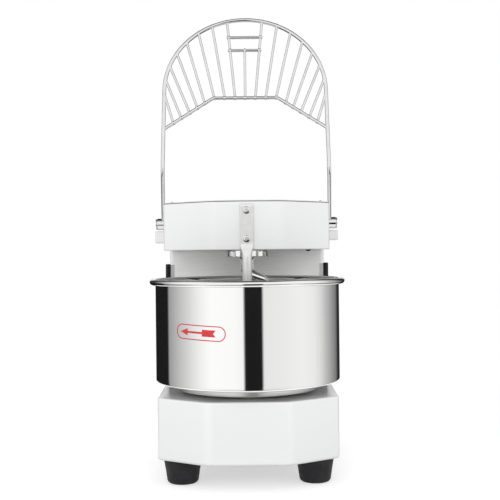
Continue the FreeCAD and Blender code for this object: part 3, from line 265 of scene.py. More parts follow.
inner_radius, bowl_floor = BOWL_RADIUS - BOWL_WALL, bowl_low[2] + BOWL_WALL
bead_radius, bead_height = bowl_high[0] - BEAD_RADIUS, bowl_high[2] - BEAD_RADIUS
inner_top, outer_top = bead_height - BEAD_GAP_INSIDE, bead_height - BEAD_GAP_OUTSIDE
inner_edge, outer_edge = (inner_radius, bowl_floor), (BOWL_RADIUS, bowl_low[2])
wall_share = [i / WALL_LOOPS for i in range(1, WALL_LOOPS + 1)]
bowl_profile = [(0, bowl_floor), (inner_radius - BOWL_FLAT_EDGE, bowl_floor), inner_edge]
bowl_profile += [(inner_radius, bowl_floor + (inner_top - bowl_floor) * share) for share in wall_share]
bowl_profile += [(bead_radius + BEAD_RADIUS * cos(radians(turn)), bead_height + BEAD_RADIUS * sin(radians(turn)))
                 for turn in BEAD_TURNS_DEG]
bowl_profile += [(BOWL_RADIUS, outer_top - (outer_top - bowl_low[2]) * share) for share in [0] + wall_share]
bowl_profile += [(BOWL_RADIUS - BOWL_FLAT_EDGE, bowl_low[2]), (0, bowl_low[2])]
bm = bmesh.new()
spun(bm, bowl_profile, bowl_place, BOWL_SIDES,
     [(inner_edge, BOWL_CORNER - BOWL_WALL, 5), (outer_edge, BOWL_CORNER, 6)])
add_piece("bowl_polished", bm, bowl_steel_shaded_inside, "bowl", ["bowl"], crease=60)
dress(polished_stainless, "bowl_centre_bolt")


# Plinth: a shallow pan pressed from stainless sheet and left satin, with its lower edge turned in.
# The bowl stands on it, and both are clamped to the shaft's flange by the bolt in the bowl's middle.
PLINTH_ROUND, PLINTH_LIP, PLINTH_SHEET, PLINTH_HOLE = 2.0 * MM, 9.0 * MM, 2.0 * MM, 30.0 * MM
PLINTH_WALL, LIP_EDGE, LIP_ROOT, PLINTH_SIDES = 3 * MM, 1.2 * MM, 1.6 * MM, 200
satin_stainless, tree, shader = new_finish("satin_stainless", (0.74, 0.74, 0.73), 1.0, 0.3)
vary_color(tree, shader, grain(tree, 40, (0.3, 0.3, 20)), (0.7, 0.7, 0.69), (0.8, 0.8, 0.79))
vary_roughness(tree, shader, grain(tree, 60, (0.3, 0.3, 20)), 0.26, 0.38)
plinth_low, plinth_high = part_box("bowl_plinth")
plinth_radius, plinth_foot, plinth_top = plinth_high[0], plinth_low[2], plinth_high[2]
upper_edge, lower_edge = (plinth_radius, plinth_top), (plinth_radius, plinth_foot)
plinth_profile = [(PLINTH_HOLE, plinth_top), upper_edge, lower_edge, (plinth_radius - PLINTH_LIP, plinth_foot),
                  (plinth_radius - PLINTH_LIP, plinth_foot + LIP_EDGE),
                  (plinth_radius - PLINTH_WALL, plinth_foot + LIP_ROOT),
                  (plinth_radius - PLINTH_WALL, plinth_top - PLINTH_SHEET), (PLINTH_HOLE, plinth_top - PLINTH_SHEET),
                  (PLINTH_HOLE, plinth_top)]
bm = bmesh.new()
spun(bm, plinth_profile, bowl_place, PLINTH_SIDES,
     [(upper_edge, PLINTH_ROUND, 5), (lower_edge, 0.5 * PLINTH_ROUND, 4)])
add_piece("bowl_plinth_pressed", bm, satin_stainless, "bowl", ["bowl_plinth"])


# Turning arrow: printed in red on the bowl's front left, an arrow inside a rounded outline.
# It shows which way the bowl turns; the ink lies on the steel as a film.
ARROW_HEIGHT, ARROW_TURN, ARROW_TILT = 204.2 * MM, radians(-29.4), radians(-2.3)
PILL_HALF, PILL_ROUND, PILL_LINE, PILL_CORNERS = 37.6 * MM, 9.9 * MM, 1.3 * MM, 42
ARROW_OUTLINE = ((-30.4, 0), (-18, 4.6), (-18, 1.3), (4.6, 1.3), (4.6, 4.4), (24.1, 4.4), (20.5, 0),
                 (24.1, -4.4), (4.6, -4.4), (4.6, -1.3), (-18, -1.3), (-18, -4.6))
PRINT_LIFT, PRINT_CUTS = 0.12 * MM, 36
red_ink, tree, shader = new_finish("red_ink", (0.62, 0.03, 0.03), 0.0, 0.35)
vary_color(tree, shader, grain(tree, 220), (0.56, 0.025, 0.027), (0.68, 0.04, 0.038))
bm = bmesh.new()
pill = bmesh.ops.create_circle(bm, cap_ends=True, segments=PILL_CORNERS, radius=PILL_ROUND,
                               matrix=Matrix.Rotation(pi / PILL_CORNERS, 4, "Z"))["verts"]
for v in pill:
    v.co.x += copysign(PILL_HALF - PILL_ROUND, v.co.x)
outline = bmesh.ops.inset_region(bm, faces=bm.faces, thickness=PILL_LINE, use_even_offset=True,
                                  use_boundary=True)["faces"]
bmesh.ops.delete(bm, geom=[f for f in bm.faces if f not in outline], context="FACES_ONLY")
bm.faces.new([bm.verts.new((x * MM, y * MM, 0)) for x, y in ARROW_OUTLINE])
for i in range(1, PRINT_CUTS):
    cut = PILL_HALF * (2 * i / PRINT_CUTS - 1)
    bmesh.ops.bisect_plane(bm, geom=bm.verts[:] + bm.edges[:] + bm.faces[:], dist=1e-7, plane_co=(cut, 0, 0),
                           plane_no=(1, 0, 0))
bmesh.ops.rotate(bm, cent=(0, 0, 0), matrix=Matrix.Rotation(ARROW_TILT, 3, "Z"), verts=bm.verts)
for v in bm.verts:
    turn, reach = ARROW_TURN + v.co.x / BOWL_RADIUS, BOWL_RADIUS + PRINT_LIFT
    v.co = (reach * sin(turn), bowl_axis_y - reach * cos(turn), ARROW_HEIGHT + v.co.y)
add_piece("turning_arrow", bm, red_ink, "bowl")


# Spiral hook: one round stainless bar, bent hot into a spiral, welded under its neck and mirror-polished.
# Its tip turns inwards and is ground to a ball. The slotted collar above it covers the shaft's bearing.
HOOK_ROD, HOOK_RADIUS, NECK_RADIUS, NECK_BOTTOM = 14.0 * MM, 42.0 * MM, 10.0 * MM, 283.5 * MM
HOOK_TURNS, HOOK_START_DEG, HOOK_GROW = 1.55, -75.0, 0.44
TIP_SHARE, TIP_CLOSING, HOOK_LAG = 0.86, 0.42, 0.05
HOOK_STEPS, HOOK_SIDES, NECK_SIDES = 200, 28, 48
# The neck flares out to its shoulder: (further out, below the top)
NECK_FLARE = ((0, 4 * MM), (1.5 * MM, 1.2 * MM), (3 * MM, 0))
hook_low, hook_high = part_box("spiral_hook")
hook_y, hook_tip = joints["spiral_spin"]["pos_m"][1], hook_low[2] + HOOK_ROD / 2


def hook_point(share):
    """A point on the hook's centre line; share runs from 0 at the neck to 1 at the tip."""
    turn = HOOK_TURNS * share
    swing = HOOK_RADIUS * (1 - cos(min(1.0, turn / HOOK_GROW) * pi)) / 2
    swing *= 1 - TIP_CLOSING * max(0.0, (share - TIP_SHARE) / (1 - TIP_SHARE)) ** 2
    angle = radians(HOOK_START_DEG + 360 * turn)
    fall = share - HOOK_LAG * sin(pi * share)
    return Vector((swing * cos(angle), hook_y + swing * sin(angle), NECK_BOTTOM - (NECK_BOTTOM - hook_tip) * fall))


def start_rod(bm, point, ahead, radius, sides):
    """The closed first end of a rod that runs on in one direction."""
    place = Matrix.Translation(point) @ ahead.to_track_quat("Z", "Y").to_matrix().to_4x4()
    return bmesh.ops.create_circle(bm, cap_ends=True, segments=sides, radius=radius, matrix=place)["verts"]


def ring_edges(ring):
    """The edges that run round a ring of corners."""
    around = set(ring)
    return list({e for v in ring for e in v.link_edges if e.other_vert(v) in around})


def pull_on(bm, ring, move):
    """Draws a rod on from its open ring, and returns the new ring."""
    drawn = bmesh.ops.extrude_edge_only(bm, edges=ring_edges(ring))["geom"]
    ring = [v for v in drawn if isinstance(v, bmesh.types.BMVert)]
    bmesh.ops.transform(bm, matrix=move, verts=ring)
    return ring


line = [hook_point(i / HOOK_STEPS) for i in range(HOOK_STEPS + 1)]
heading = (line[1] - line[0]).normalized()
bm = bmesh.new()
ring = start_rod(bm, line[0], heading, HOOK_ROD / 2, HOOK_SIDES)
for i in range(1, HOOK_STEPS + 1):
    next_heading = (line[min(i + 1, HOOK_STEPS)] - line[i - 1]).normalized()
    turn = heading.rotation_difference(next_heading).to_matrix().to_4x4()
    ring = pull_on(bm, ring, Matrix.Translation(line[i]) @ turn @ Matrix.Translation(-line[i - 1]))
    heading = next_heading
bmesh.ops.edgeloop_fill(bm, edges=ring_edges(ring))
bmesh.ops.create_uvsphere(bm, u_segments=HOOK_SIDES, v_segments=16, radius=HOOK_ROD / 2,
                          matrix=Matrix.Translation(line[-1]))
neck_profile = [(NECK_RADIUS * sin(radians(turn)), NECK_BOTTOM - NECK_RADIUS * cos(radians(turn)))
                for turn in range(0, 91, 6)]
neck_profile += [(NECK_RADIUS + out, hook_high[2] - down) for out, down in NECK_FLARE] + [(0, hook_high[2])]
spun(bm, neck_profile, Matrix.Translation((0, hook_y, 0)), NECK_SIDES)
add_piece("spiral_hook_polished", bm, polished_stainless, "spiral", ["spiral_hook"], crease=50)
dress(polished_stainless, "spiral_collar")


# Breaker bar: a round stainless bar forged flat at its top and blasted to a pale satin, with a ball-ended foot.
# The flat lies against the front of the head, and the round part hangs in the bowl and splits the dough.
BAR_RADIUS, BAR_WIDE, BAR_THICK, BAR_FOOT_ROUND = 7.0 * MM, 19.0 * MM, 8.0 * MM, 4.5 * MM
BAR_FLAT_BOTTOM, BAR_ROUND_TOP, BAR_TOP_EDGE = 319.0 * MM, 299.0 * MM, 0.6 * MM
BAR_SIDES, FOOT_CUTS, FORGING_CUTS, FLAT_CUT, BAR_BEHIND = 56, 8, 24, 4 * MM, 2.0 * MM
bar_low, bar_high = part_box("breaker_bar")
head_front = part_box("head_shell")[0][1]
bar_y, flat_y = bowl_axis_y + BAR_BEHIND, head_front - BAR_THICK / 2

satin_bar, tree, shader = new_finish("satin_bar", (0.86, 0.86, 0.85), 0.75, 0.34)
vary_color(tree, shader, grain(tree, 160), (0.83, 0.83, 0.82), (0.88, 0.88, 0.87))
vary_roughness(tree, shader, grain(tree, 300), 0.3, 0.38)
add_bump(tree, shader, grain(tree, 1800), 0.05, 0.0001)

bm = bmesh.new()
bar_length = bar_high[2] - bar_low[2]
bmesh.ops.create_cone(bm, cap_ends=True, segments=BAR_SIDES, radius1=1.0, radius2=1.0, depth=bar_length,
                      matrix=Matrix.Translation((0, 0, bar_low[2] + bar_length / 2)))
cuts = [bar_low[2] + BAR_FOOT_ROUND * (i / FOOT_CUTS) ** 2 for i in range(1, FOOT_CUTS + 1)]
cuts += [BAR_ROUND_TOP + (BAR_FLAT_BOTTOM - BAR_ROUND_TOP) * i / FORGING_CUTS for i in range(FORGING_CUTS + 1)]
for cut in cuts + [BAR_FLAT_BOTTOM + FLAT_CUT, bar_high[2] - FLAT_CUT, bar_high[2] - BAR_TOP_EDGE]:
    bmesh.ops.bisect_plane(bm, geom=bm.verts[:] + bm.edges[:] + bm.faces[:], dist=1e-7, plane_co=(0, 0, cut),
                           plane_no=(0, 0, 1))
for v in bm.verts:
    share = min(1.0, max(0.0, (v.co.z - BAR_ROUND_TOP) / (BAR_FLAT_BOTTOM - BAR_ROUND_TOP)))
    share = share * share * (3 - 2 * share)
    left = max(0.0, BAR_FOOT_ROUND - (v.co.z - bar_low[2]))
    shrink = BAR_FOOT_ROUND - sqrt(max(0.0, BAR_FOOT_ROUND ** 2 - left ** 2))
    shrink += max(0.0, BAR_TOP_EDGE - (bar_high[2] - v.co.z))
    wide = BAR_RADIUS + (BAR_WIDE / 2 - BAR_RADIUS) * share - shrink
    deep = BAR_RADIUS + (BAR_THICK / 2 - BAR_RADIUS) * share - shrink
    middle = bar_y + (flat_y - bar_y) * share
    v.co = (wide * v.co.x, middle + min(deep, max(-deep, wide * v.co.y)), v.co.z)
add_piece("breaker_bar_forged", bm, satin_bar, "casing", ["breaker_bar"], crease=50)


# Bar screws: two M6 button-head screws through the bar's flat into the head, in plated steel.
# Each head is a low dome with a hexagon socket sunk in its crown.
BAR_SCREWS_Z, SCREW_RADIUS, SCREW_RISE, SCREW_SOCKET = (326.0 * MM, 366.0 * MM), 5.3 * MM, 3.3 * MM, 2.2 * MM
SCREW_SIDES, CROWN_ROUND, CROWN_INSET, SOCKET_SINK = 36, 0.42, 0.1, 0.6


def button_head(bm, place, radius, rise, socket):
    """A domed screw head on its seat, with a hexagon socket."""
    before = set(bm.verts)
    bmesh.ops.create_cone(bm, cap_ends=True, segments=SCREW_SIDES, radius1=radius, radius2=radius, depth=rise,
                          matrix=Matrix.Translation((0, 0, rise / 2)))
    crown_edges = [e for e in bm.edges if all(v not in before and v.co.z > 0.9 * rise for v in e.verts)]
    bmesh.ops.bevel(bm, geom=crown_edges, offset=CROWN_ROUND * radius, segments=5, profile=0.5, affect="EDGES",
                    material=-1)
    crown = [f for f in bm.faces if f.verts[0] not in before and all(v.co.z > rise - 1e-6 for v in f.verts)]
    bmesh.ops.inset_region(bm, faces=crown, thickness=CROWN_INSET * radius, use_even_offset=True)
    for v in crown[0].verts:
        turn = atan2(v.co.y, v.co.x)
        flat = socket * cos(pi / 6) / cos((turn % (pi / 3)) - pi / 6)
        v.co = (flat * cos(turn), flat * sin(turn), rise)
    sunk = bmesh.ops.extrude_face_region(bm, geom=crown)["geom"]
    bmesh.ops.translate(bm, vec=(0, 0, -SOCKET_SINK * rise),
                        verts=[v for v in sunk if isinstance(v, bmesh.types.BMVert)])
    bmesh.ops.delete(bm, geom=crown, context="FACES_ONLY")
    bmesh.ops.transform(bm, matrix=place, verts=[v for v in bm.verts if v not in before])


bm = bmesh.new()
for z in BAR_SCREWS_Z:
    seat = Matrix.Translation((0, head_front - BAR_THICK, z)) @ Matrix.Rotation(pi / 2, 4, "X")
    button_head(bm, seat, SCREW_RADIUS, SCREW_RISE, SCREW_SOCKET)
add_piece("bar_screw_heads", bm, bright_steel, "casing", ["breaker_bar_screws"])


# Shield edge strips: black rubber profile pushed over the two upright ends of the splash shield.
# They cover the cut edges of the sheet behind the bowl's rim.
SHIELD_RADIUS, STRIP_TURN = 148.75 * MM, radians(37.6)
STRIP_WIDE, STRIP_THICK, STRIP_ROUND, STRIP_OVER, STRIP_BOTTOM = 7.5 * MM, 5.2 * MM, 1.6 * MM, 1.2 * MM, 228 * MM
strip_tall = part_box("splash_shield")[1][2] + STRIP_OVER - STRIP_BOTTOM
bm = bmesh.new()
for side in (-1, 1):
    middle = Vector((side * SHIELD_RADIUS * cos(STRIP_TURN), bowl_axis_y + SHIELD_RADIUS * sin(STRIP_TURN),
                     STRIP_BOTTOM + strip_tall / 2))
    place = Matrix.Translation(middle) @ Matrix.Rotation(side * (pi / 2 + STRIP_TURN), 4, "Z")
    before = set(bm.edges)
    bmesh.ops.create_cube(bm, size=1.0, matrix=place @ Matrix.Diagonal((STRIP_WIDE, STRIP_THICK, strip_tall, 1)))
    bmesh.ops.bevel(bm, geom=[e for e in bm.edges if e not in before], offset=STRIP_ROUND, segments=4, profile=0.5,
                    affect="EDGES", material=-1)
add_piece("shield_edge_strips", bm, black_rubber, "casing", crease=60)


# Head plug: a black plug pressed into the hole under the head that a screwdriver goes through.
# It sits near the right edge and shows as a small dark dome.
PLUG_X, PLUG_Y, PLUG_RADIUS, PLUG_RISE = 92.0 * MM, bowl_axis_y + 88 * MM, 3.9 * MM, 2.6 * MM
PLUG_SIDES, PLUG_SEAT = 32, 0.1 * MM
head_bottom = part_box("head_shell")[0][2]
plug_profile = [(PLUG_RADIUS * cos(radians(turn)), head_bottom - PLUG_RISE * sin(radians(turn)))
                for turn in range(0, 91, 10)]
bm = bmesh.new()
spun(bm, [(0, head_bottom + PLUG_SEAT), (PLUG_RADIUS, head_bottom + PLUG_SEAT)] + plug_profile,
     Matrix.Translation((PLUG_X, PLUG_Y, 0)), PLUG_SIDES)
add_piece("head_plug", bm, black_rubber, "casing")


# Trim: a satin strip that shows as a thin dark line between the head's top edge and its cover; its dark colour is
# painted shade along the cover's front edge.
# The cover's screws clamp it.
# Painted shade: the strip is coloured near black so that it shows as the dark line along the cover's front edge
trim_steel_painted_shade, tree, shader = new_finish("trim_steel_painted_shade", (0.15, 0.15, 0.148), 1.0, 0.3)
vary_color(tree, shader, grain(tree, 60, (1, 30, 30)), (0.13, 0.13, 0.128), (0.17, 0.17, 0.168))
vary_roughness(tree, shader, grain(tree, 60, (1, 30, 30)), 0.26, 0.36)
dress(trim_steel_painted_shade, "head_trim")


# Guard hoop: one 6 mm wire, bent at both knees and round the front, chromed after welding.
# Its legs spread a little towards the hubs. It is drawn level over the bowl and swung up to its stop.
GUARD_DROP, GUARD_RADIUS, GUARD_SPREAD, GUARD_KNEE, GUARD_CENTRE = (v * MM for v in (66.5, 128.3, 3.0, 66.3, 201.8))
HOOP_ROD, KNEE_BEND, GUARD_OPEN_DEG, LEG_START = 6.0 * MM, 30 * MM, 109.5, 8.0 * MM
BEND_STEP, BEND_STEPS_LEAST, HOOP_SIDES = radians(2.5), 8, 20
pivot = Vector(joints["guard_hinge"]["pos_m"])
swing_up = Matrix.Translation(pivot) @ Matrix.Rotation(radians(-GUARD_OPEN_DEG), 4, "X") @ Matrix.Translation(-pivot)

chromed_wire, tree, shader = new_finish("chromed_wire", (0.78, 0.78, 0.78), 1.0, 0.12)
vary_color(tree, shader, grain(tree, 90), (0.74, 0.74, 0.74), (0.82, 0.82, 0.82))
vary_roughness(tree, shader, grain(tree, 260), 0.09, 0.16)


def fan_point(x, forward):
    """A point of the level fan: x across the machine and a distance forward of the pivot."""
    return Vector((x, pivot.y - forward, pivot.z - GUARD_DROP))


def bent_wire(bm, corners, bends, rod, sides):
    """Runs a wire along straight lengths and turns it round each corner, then swings it up with the guard."""
    before = set(bm.verts)
    here = corners[0]
    ring = start_rod(bm, here, (corners[1] - here).normalized(), rod / 2, sides)
    for i, corner in enumerate(corners[1:], 1):
        ahead, stop, turn = (corner - here).normalized(), corner, 0.0
        if i <= len(bends):
            onwards = (corners[i + 1] - corner).normalized()
            turn = (corner - corners[i - 1]).angle(onwards)
            ahead = (corner - corners[i - 1]).normalized()
            stop = corner - ahead * bends[i - 1] * tan(turn / 2)
        if (stop - here).length > 1e-6:
            ring = pull_on(bm, ring, Matrix.Translation(stop - here))
        if turn:
            axis = ahead.cross(onwards).normalized()
            steps = max(BEND_STEPS_LEAST, round(turn / BEND_STEP))
            bent = bmesh.ops.spin(bm, geom=ring + ring_edges(ring), cent=stop + axis.cross(ahead) * bends[i - 1],
                                  axis=axis, angle=turn, steps=steps)["geom_last"]
            ring = [v for v in bent if isinstance(v, bmesh.types.BMVert)]
            here = corner + onwards * bends[i - 1] * tan(turn / 2)
    bmesh.ops.edgeloop_fill(bm, edges=ring_edges(ring))
    bmesh.ops.transform(bm, matrix=swing_up, verts=[v for v in bm.verts if v not in before])


knee, leg_end = fan_point(GUARD_RADIUS, GUARD_KNEE), pivot + Vector((GUARD_RADIUS + GUARD_SPREAD, 0, 0))
half_hoop = [leg_end + (knee - leg_end).normalized() * LEG_START, knee,
             fan_point(GUARD_RADIUS, GUARD_CENTRE + GUARD_RADIUS)]
other_half = [Vector((-p.x, p.y, p.z)) for p in reversed(half_hoop)]
bm = bmesh.new()
bent_wire(bm, half_hoop + other_half, [KNEE_BEND, GUARD_RADIUS, GUARD_RADIUS, KNEE_BEND], HOOP_ROD, HOOP_SIDES)
add_piece("guard_hoop_wire", bm, chromed_wire, "guard", ["guard_hoop"], crease=60)


# Guard rail: a 5 mm wire across the fan's inner edge, bent twice and welded to the hoop's legs.
# The hook and the bar pass behind it when the guard is down.
RAIL_ROD, RAIL_FRONT, RAIL_HALF, RAIL_LEG, RAIL_BEND = (v * MM for v in (5.0, 187.3, 51.0, 133.3, 14.0))
RAIL_SIDES = 18


def rail_point(x):
    """A point on the rail, straight in its middle and sloping back to the legs at both ends."""
    slope = (RAIL_FRONT - RAIL_LEG) / (GUARD_RADIUS - RAIL_HALF)
    return fan_point(x, RAIL_FRONT - max(0.0, abs(x) - RAIL_HALF) * slope)


bm = bmesh.new()
bent_wire(bm, [rail_point(x) for x in (-GUARD_RADIUS, -RAIL_HALF, RAIL_HALF, GUARD_RADIUS)], [RAIL_BEND, RAIL_BEND],
          RAIL_ROD, RAIL_SIDES)
add_piece("guard_rail_wire", bm, chromed_wire, "guard", ["guard_rail"], crease=60)


# Guard spokes: eight straight 4 mm wires a side, fanned out from the rail to the hoop.
# Each is cut to length and resistance-welded at both ends.
SPOKE_ROD, FIRST_SPOKE_DEG, SPOKE_STEP_DEG, SPOKE_SIDES = 4.0 * MM, 12.8, 11.4, 14
SPOKE_FEET = [v * MM for v in (16.0, 32.5, 49.0, 64.0, 75.5, 87.5, 100.5, 113.0)]


def hoop_point(degrees):
    """A point on the hoop's half circle, or beyond it on a leg, at an angle from the front."""
    across = GUARD_RADIUS * (sin(radians(degrees)) if abs(degrees) < 90 else copysign(1, degrees))
    return fan_point(across, GUARD_CENTRE + GUARD_RADIUS * cos(radians(degrees)))


spokes = [(hoop_point(side * (FIRST_SPOKE_DEG + SPOKE_STEP_DEG * i)), rail_point(side * foot))
          for side in (-1, 1) for i, foot in enumerate(SPOKE_FEET)]
bm = bmesh.new()
for ends in spokes:
    bent_wire(bm, ends, [], SPOKE_ROD, SPOKE_SIDES)
add_piece("guard_spoke_wires", bm, chromed_wire, "guard", ["guard_spokes"], crease=60)


# Guard ladder: two rungs between the two middle spokes, and a stem from the lower rung to the rail.
# The gap between the rungs is the grip that the guard is lifted by.
RUNG_ROD, RUNG_SIDES, RUNGS_FORWARD = 4.8 * MM, 16, (273.3 * MM, 297.3 * MM)
first_top, first_foot = hoop_point(FIRST_SPOKE_DEG), rail_point(SPOKE_FEET[0])
rungs = []
for forward in RUNGS_FORWARD:
    share = (pivot.y - forward - first_foot.y) / (first_top.y - first_foot.y)
    x = first_foot.x + (first_top.x - first_foot.x) * share
    rungs.append((fan_point(-x, forward), fan_point(x, forward)))
stem = (fan_point(0, RUNGS_FORWARD[0]), rail_point(0))
bm = bmesh.new()
for ends in rungs:
    bent_wire(bm, ends, [], RUNG_ROD, RUNG_SIDES)
bent_wire(bm, stem, [], SPOKE_ROD, SPOKE_SIDES)
add_piece("guard_ladder_wires", bm, chromed_wire, "guard", ["guard_ladder"], crease=60)


# Guard welds: the small swell that is left where two wires were pressed together and welded.
# They are chromed with the wires.
WELD_SIZE = (3.4 * MM, 2.9 * MM, 3.4 * MM, 1)
weld_places = [end for wire in spokes + rungs + [stem] for end in wire]
weld_places += [rail_point(-GUARD_RADIUS), rail_point(GUARD_RADIUS)]
bm = bmesh.new()
for point in weld_places:
    bmesh.ops.create_icosphere(bm, subdivisions=2, radius=1.0,
                               matrix=Matrix.Translation(swing_up @ point) @ Matrix.Diagonal(WELD_SIZE))
add_piece("guard_welds", bm, chromed_wire, "guard")


# Guard hubs: bosses turned from bar, grooved and polished, that carry the hoop's legs on the pivot pins.
# A set screw at the back of each holds it to its leg.
HUB_RADIUS, HUB_BORE, HUB_EDGE, HUB_GROOVE, HUB_SIDES = 9.0 * MM, 4.05 * MM, 0.9 * MM, 0.7 * MM, 64
# Across the groove: (along from the hub's inner end, share of the groove's depth)
GROOVE_STEPS = ((4 * MM, 0), (4.5 * MM, 1), (5.5 * MM, 1), (6 * MM, 0))
SET_SCREW_ALONG, SET_SCREW_SUNK = 11 * MM, 0.4 * MM
SET_SCREW_RADIUS, SET_SCREW_RISE, SET_SCREW_SOCKET = 3.0 * MM, 1.0 * MM, 1.3 * MM
for side, name in ((-1, "left"), (1, "right")):
    inner, outer = sorted(abs(corner[0]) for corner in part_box(f"guard_hub_{name}"))
    hub_profile = [(HUB_BORE, inner), (HUB_RADIUS - HUB_EDGE, inner), (HUB_RADIUS, inner + HUB_EDGE)]
    hub_profile += [(HUB_RADIUS - HUB_GROOVE * depth, inner + along) for along, depth in GROOVE_STEPS]
    hub_profile += [(HUB_RADIUS, outer - HUB_EDGE), (HUB_RADIUS - HUB_EDGE, outer), (HUB_BORE, outer),
                    (HUB_BORE, inner)]
    axle = Matrix.Translation((0, pivot.y, pivot.z)) @ Matrix.Rotation(side * pi / 2, 4, "Y")
    bm = bmesh.new()
    spun(bm, hub_profile, axle, HUB_SIDES)
    seat = Matrix.Translation((side * (inner + SET_SCREW_ALONG), pivot.y + HUB_RADIUS - SET_SCREW_SUNK, pivot.z))
    button_head(bm, seat @ Matrix.Rotation(-pi / 2, 4, "X"), SET_SCREW_RADIUS, SET_SCREW_RISE, SET_SCREW_SOCKET)
    add_piece(f"guard_hub_turned_{name}", bm, chromed_wire, "guard", [f"guard_hub_{name}"], crease=30)


# Pivot blocks: white nylon mouldings under the hubs, the guard's switch housing on the left and its stop on the right.
# Each is screwed to the side of the head from inside.
white_plastic, tree, shader = new_finish("white_plastic", (0.88, 0.88, 0.87), 0.0, 0.42)
vary_color(tree, shader, grain(tree, 30), (0.86, 0.86, 0.85), (0.9, 0.9, 0.89))
add_bump(tree, shader, grain(tree, 1600), 0.05, 0.0001)
dress(white_plastic, "guard_switch_housing", "guard_stop_block")


# Drive: motor, gearbox, bearing housings and pulleys cast in aluminium, as-cast with machined faces.
# Rubber belts join the pulleys. The bracket and the bottom plate are zinc-plated sheet; the plate is dull and coloured
# far darker than zinc as painted shade, so that it keeps the shadow under the base deep.
cast_aluminium, tree, shader = new_finish("cast_aluminium", (0.5, 0.51, 0.52), 1.0, 0.5)
vary_color(tree, shader, grain(tree, 60), (0.44, 0.45, 0.46), (0.57, 0.58, 0.59))
vary_roughness(tree, shader, grain(tree, 120), 0.42, 0.62)
add_bump(tree, shader, grain(tree, 900), 0.2, 0.0002)
dress(cast_aluminium, "motor_housing", "gearbox_housing", "bowl_bearing_housing", "spiral_bearing_housing",
      "bowl_pulley", "spiral_pulley", "bowl_drive_pulley", "spiral_drive_pulley")
zinc_sheet, tree, shader = new_finish("zinc_sheet", (0.6, 0.61, 0.62), 1.0, 0.38)
vary_color(tree, shader, grain(tree, 24), (0.52, 0.53, 0.54), (0.68, 0.69, 0.7))
vary_roughness(tree, shader, grain(tree, 40), 0.3, 0.46)
dress(zinc_sheet, "gearbox_bracket")
# Painted shade: the bottom plate is dark grey so that little light bounces from it into the shadow under the base
dark_plate_keeps_shadow, tree, shader = new_finish("dark_plate_keeps_shadow", (0.16, 0.16, 0.165), 0.1, 0.64)
vary_color(tree, shader, grain(tree, 24), (0.13, 0.13, 0.135), (0.19, 0.19, 0.195))
shader.inputs["Specular IOR Level"].default_value = 0.25
dress(dark_plate_keeps_shadow, "bottom_plate")
dress(black_rubber, "bowl_belt", "spiral_belt")


# Controls: push buttons in green and red, and a ribbed timer knob, on a satin steel panel at the column's right side.
# Knob, bezels, switch blocks, fan cover and cable gland are moulded in black plastic.
black_plastic, tree, shader = new_finish("black_plastic", (0.02, 0.02, 0.021), 0.0, 0.38)
vary_color(tree, shader, grain(tree, 80), (0.015, 0.015, 0.016), (0.027, 0.027, 0.028))
add_bump(tree, shader, grain(tree, 1800), 0.08, 0.0001)
dress(satin_stainless, "control_panel")
dress(black_plastic, "timer_knob", "button_bezels", "switch_blocks", "motor_fan_cover", "cable_gland")
for button, color_name, dark, light in (("start_button", "green_plastic", (0.02, 0.28, 0.07), (0.03, 0.36, 0.1)),
                                        ("stop_button", "red_plastic", (0.5, 0.02, 0.02), (0.62, 0.035, 0.03))):
    button_plastic, tree, shader = new_finish(color_name, light, 0.0, 0.34)
    vary_color(tree, shader, grain(tree, 60), dark, light)
    dress(button_plastic, button)


# Timer pointer: white paint laid into the short groove in the knob's face, so that the time set can be read.
# It fills most of the groove's depth and turns with the knob.
POINTER_SIZE, POINTER_OUT, POINTER_SINK = (0.65 * MM, 1.7 * MM, 9.8 * MM), 9.0 * MM, 0.6 * MM
pointer_paint, tree, shader = new_finish("pointer_paint", (0.8, 0.8, 0.79), 0.0, 0.5)
vary_roughness(tree, shader, grain(tree, 200), 0.42, 0.58)
knob = Vector(joints["timer_turn"]["pos_m"])
pointer_middle = Vector((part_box("timer_knob")[1][0] - POINTER_SINK, knob.y, knob.z + POINTER_OUT))
bm = bmesh.new()
bmesh.ops.create_cube(bm, size=1, matrix=Matrix.Translation(pointer_middle) @ Matrix.Diagonal((*POINTER_SIZE, 1)))
add_piece("timer_pointer", bm, pointer_paint, "timer")


# Panel marks: black ink printed on the steel, ticks clockwise round the timer knob, a bar by start and a ring by stop.
# The film of ink lies on the panel's face.
INK_LIFT, TICKS, TICK_TURN, LONG_EVERY = 0.08 * MM, 11, radians(-30), 5
TICK_NEAR, TICK_SHORT, TICK_LONG, TICK_WIDE = 19.5 * MM, 22.0 * MM, 23.5 * MM, 0.9 * MM
MARK_BAR, MARK_RADIUS, MARK_LINE, MARK_GAP, RING_SIDES = (1.2 * MM, 8.0 * MM), 4.0 * MM, 1.0 * MM, 9.0 * MM, 40
panel_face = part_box("control_panel")[1][0] + INK_LIFT
facing_right = Matrix.Rotation(pi / 2, 4, "Z") @ Matrix.Rotation(pi / 2, 4, "X")
bm = bmesh.new()
for i in range(TICKS):
    far = TICK_SHORT if i % LONG_EVERY else TICK_LONG
    place = Matrix.Translation((panel_face, knob.y, knob.z)) @ facing_right @ Matrix.Rotation(TICK_TURN * i, 4, "Z")
    tick = Matrix.Translation((0, (TICK_NEAR + far) / 2, 0)) @ Matrix.Diagonal((TICK_WIDE, far - TICK_NEAR, 1, 1))
    bmesh.ops.create_grid(bm, x_segments=1, y_segments=1, size=0.5, matrix=place @ tick)
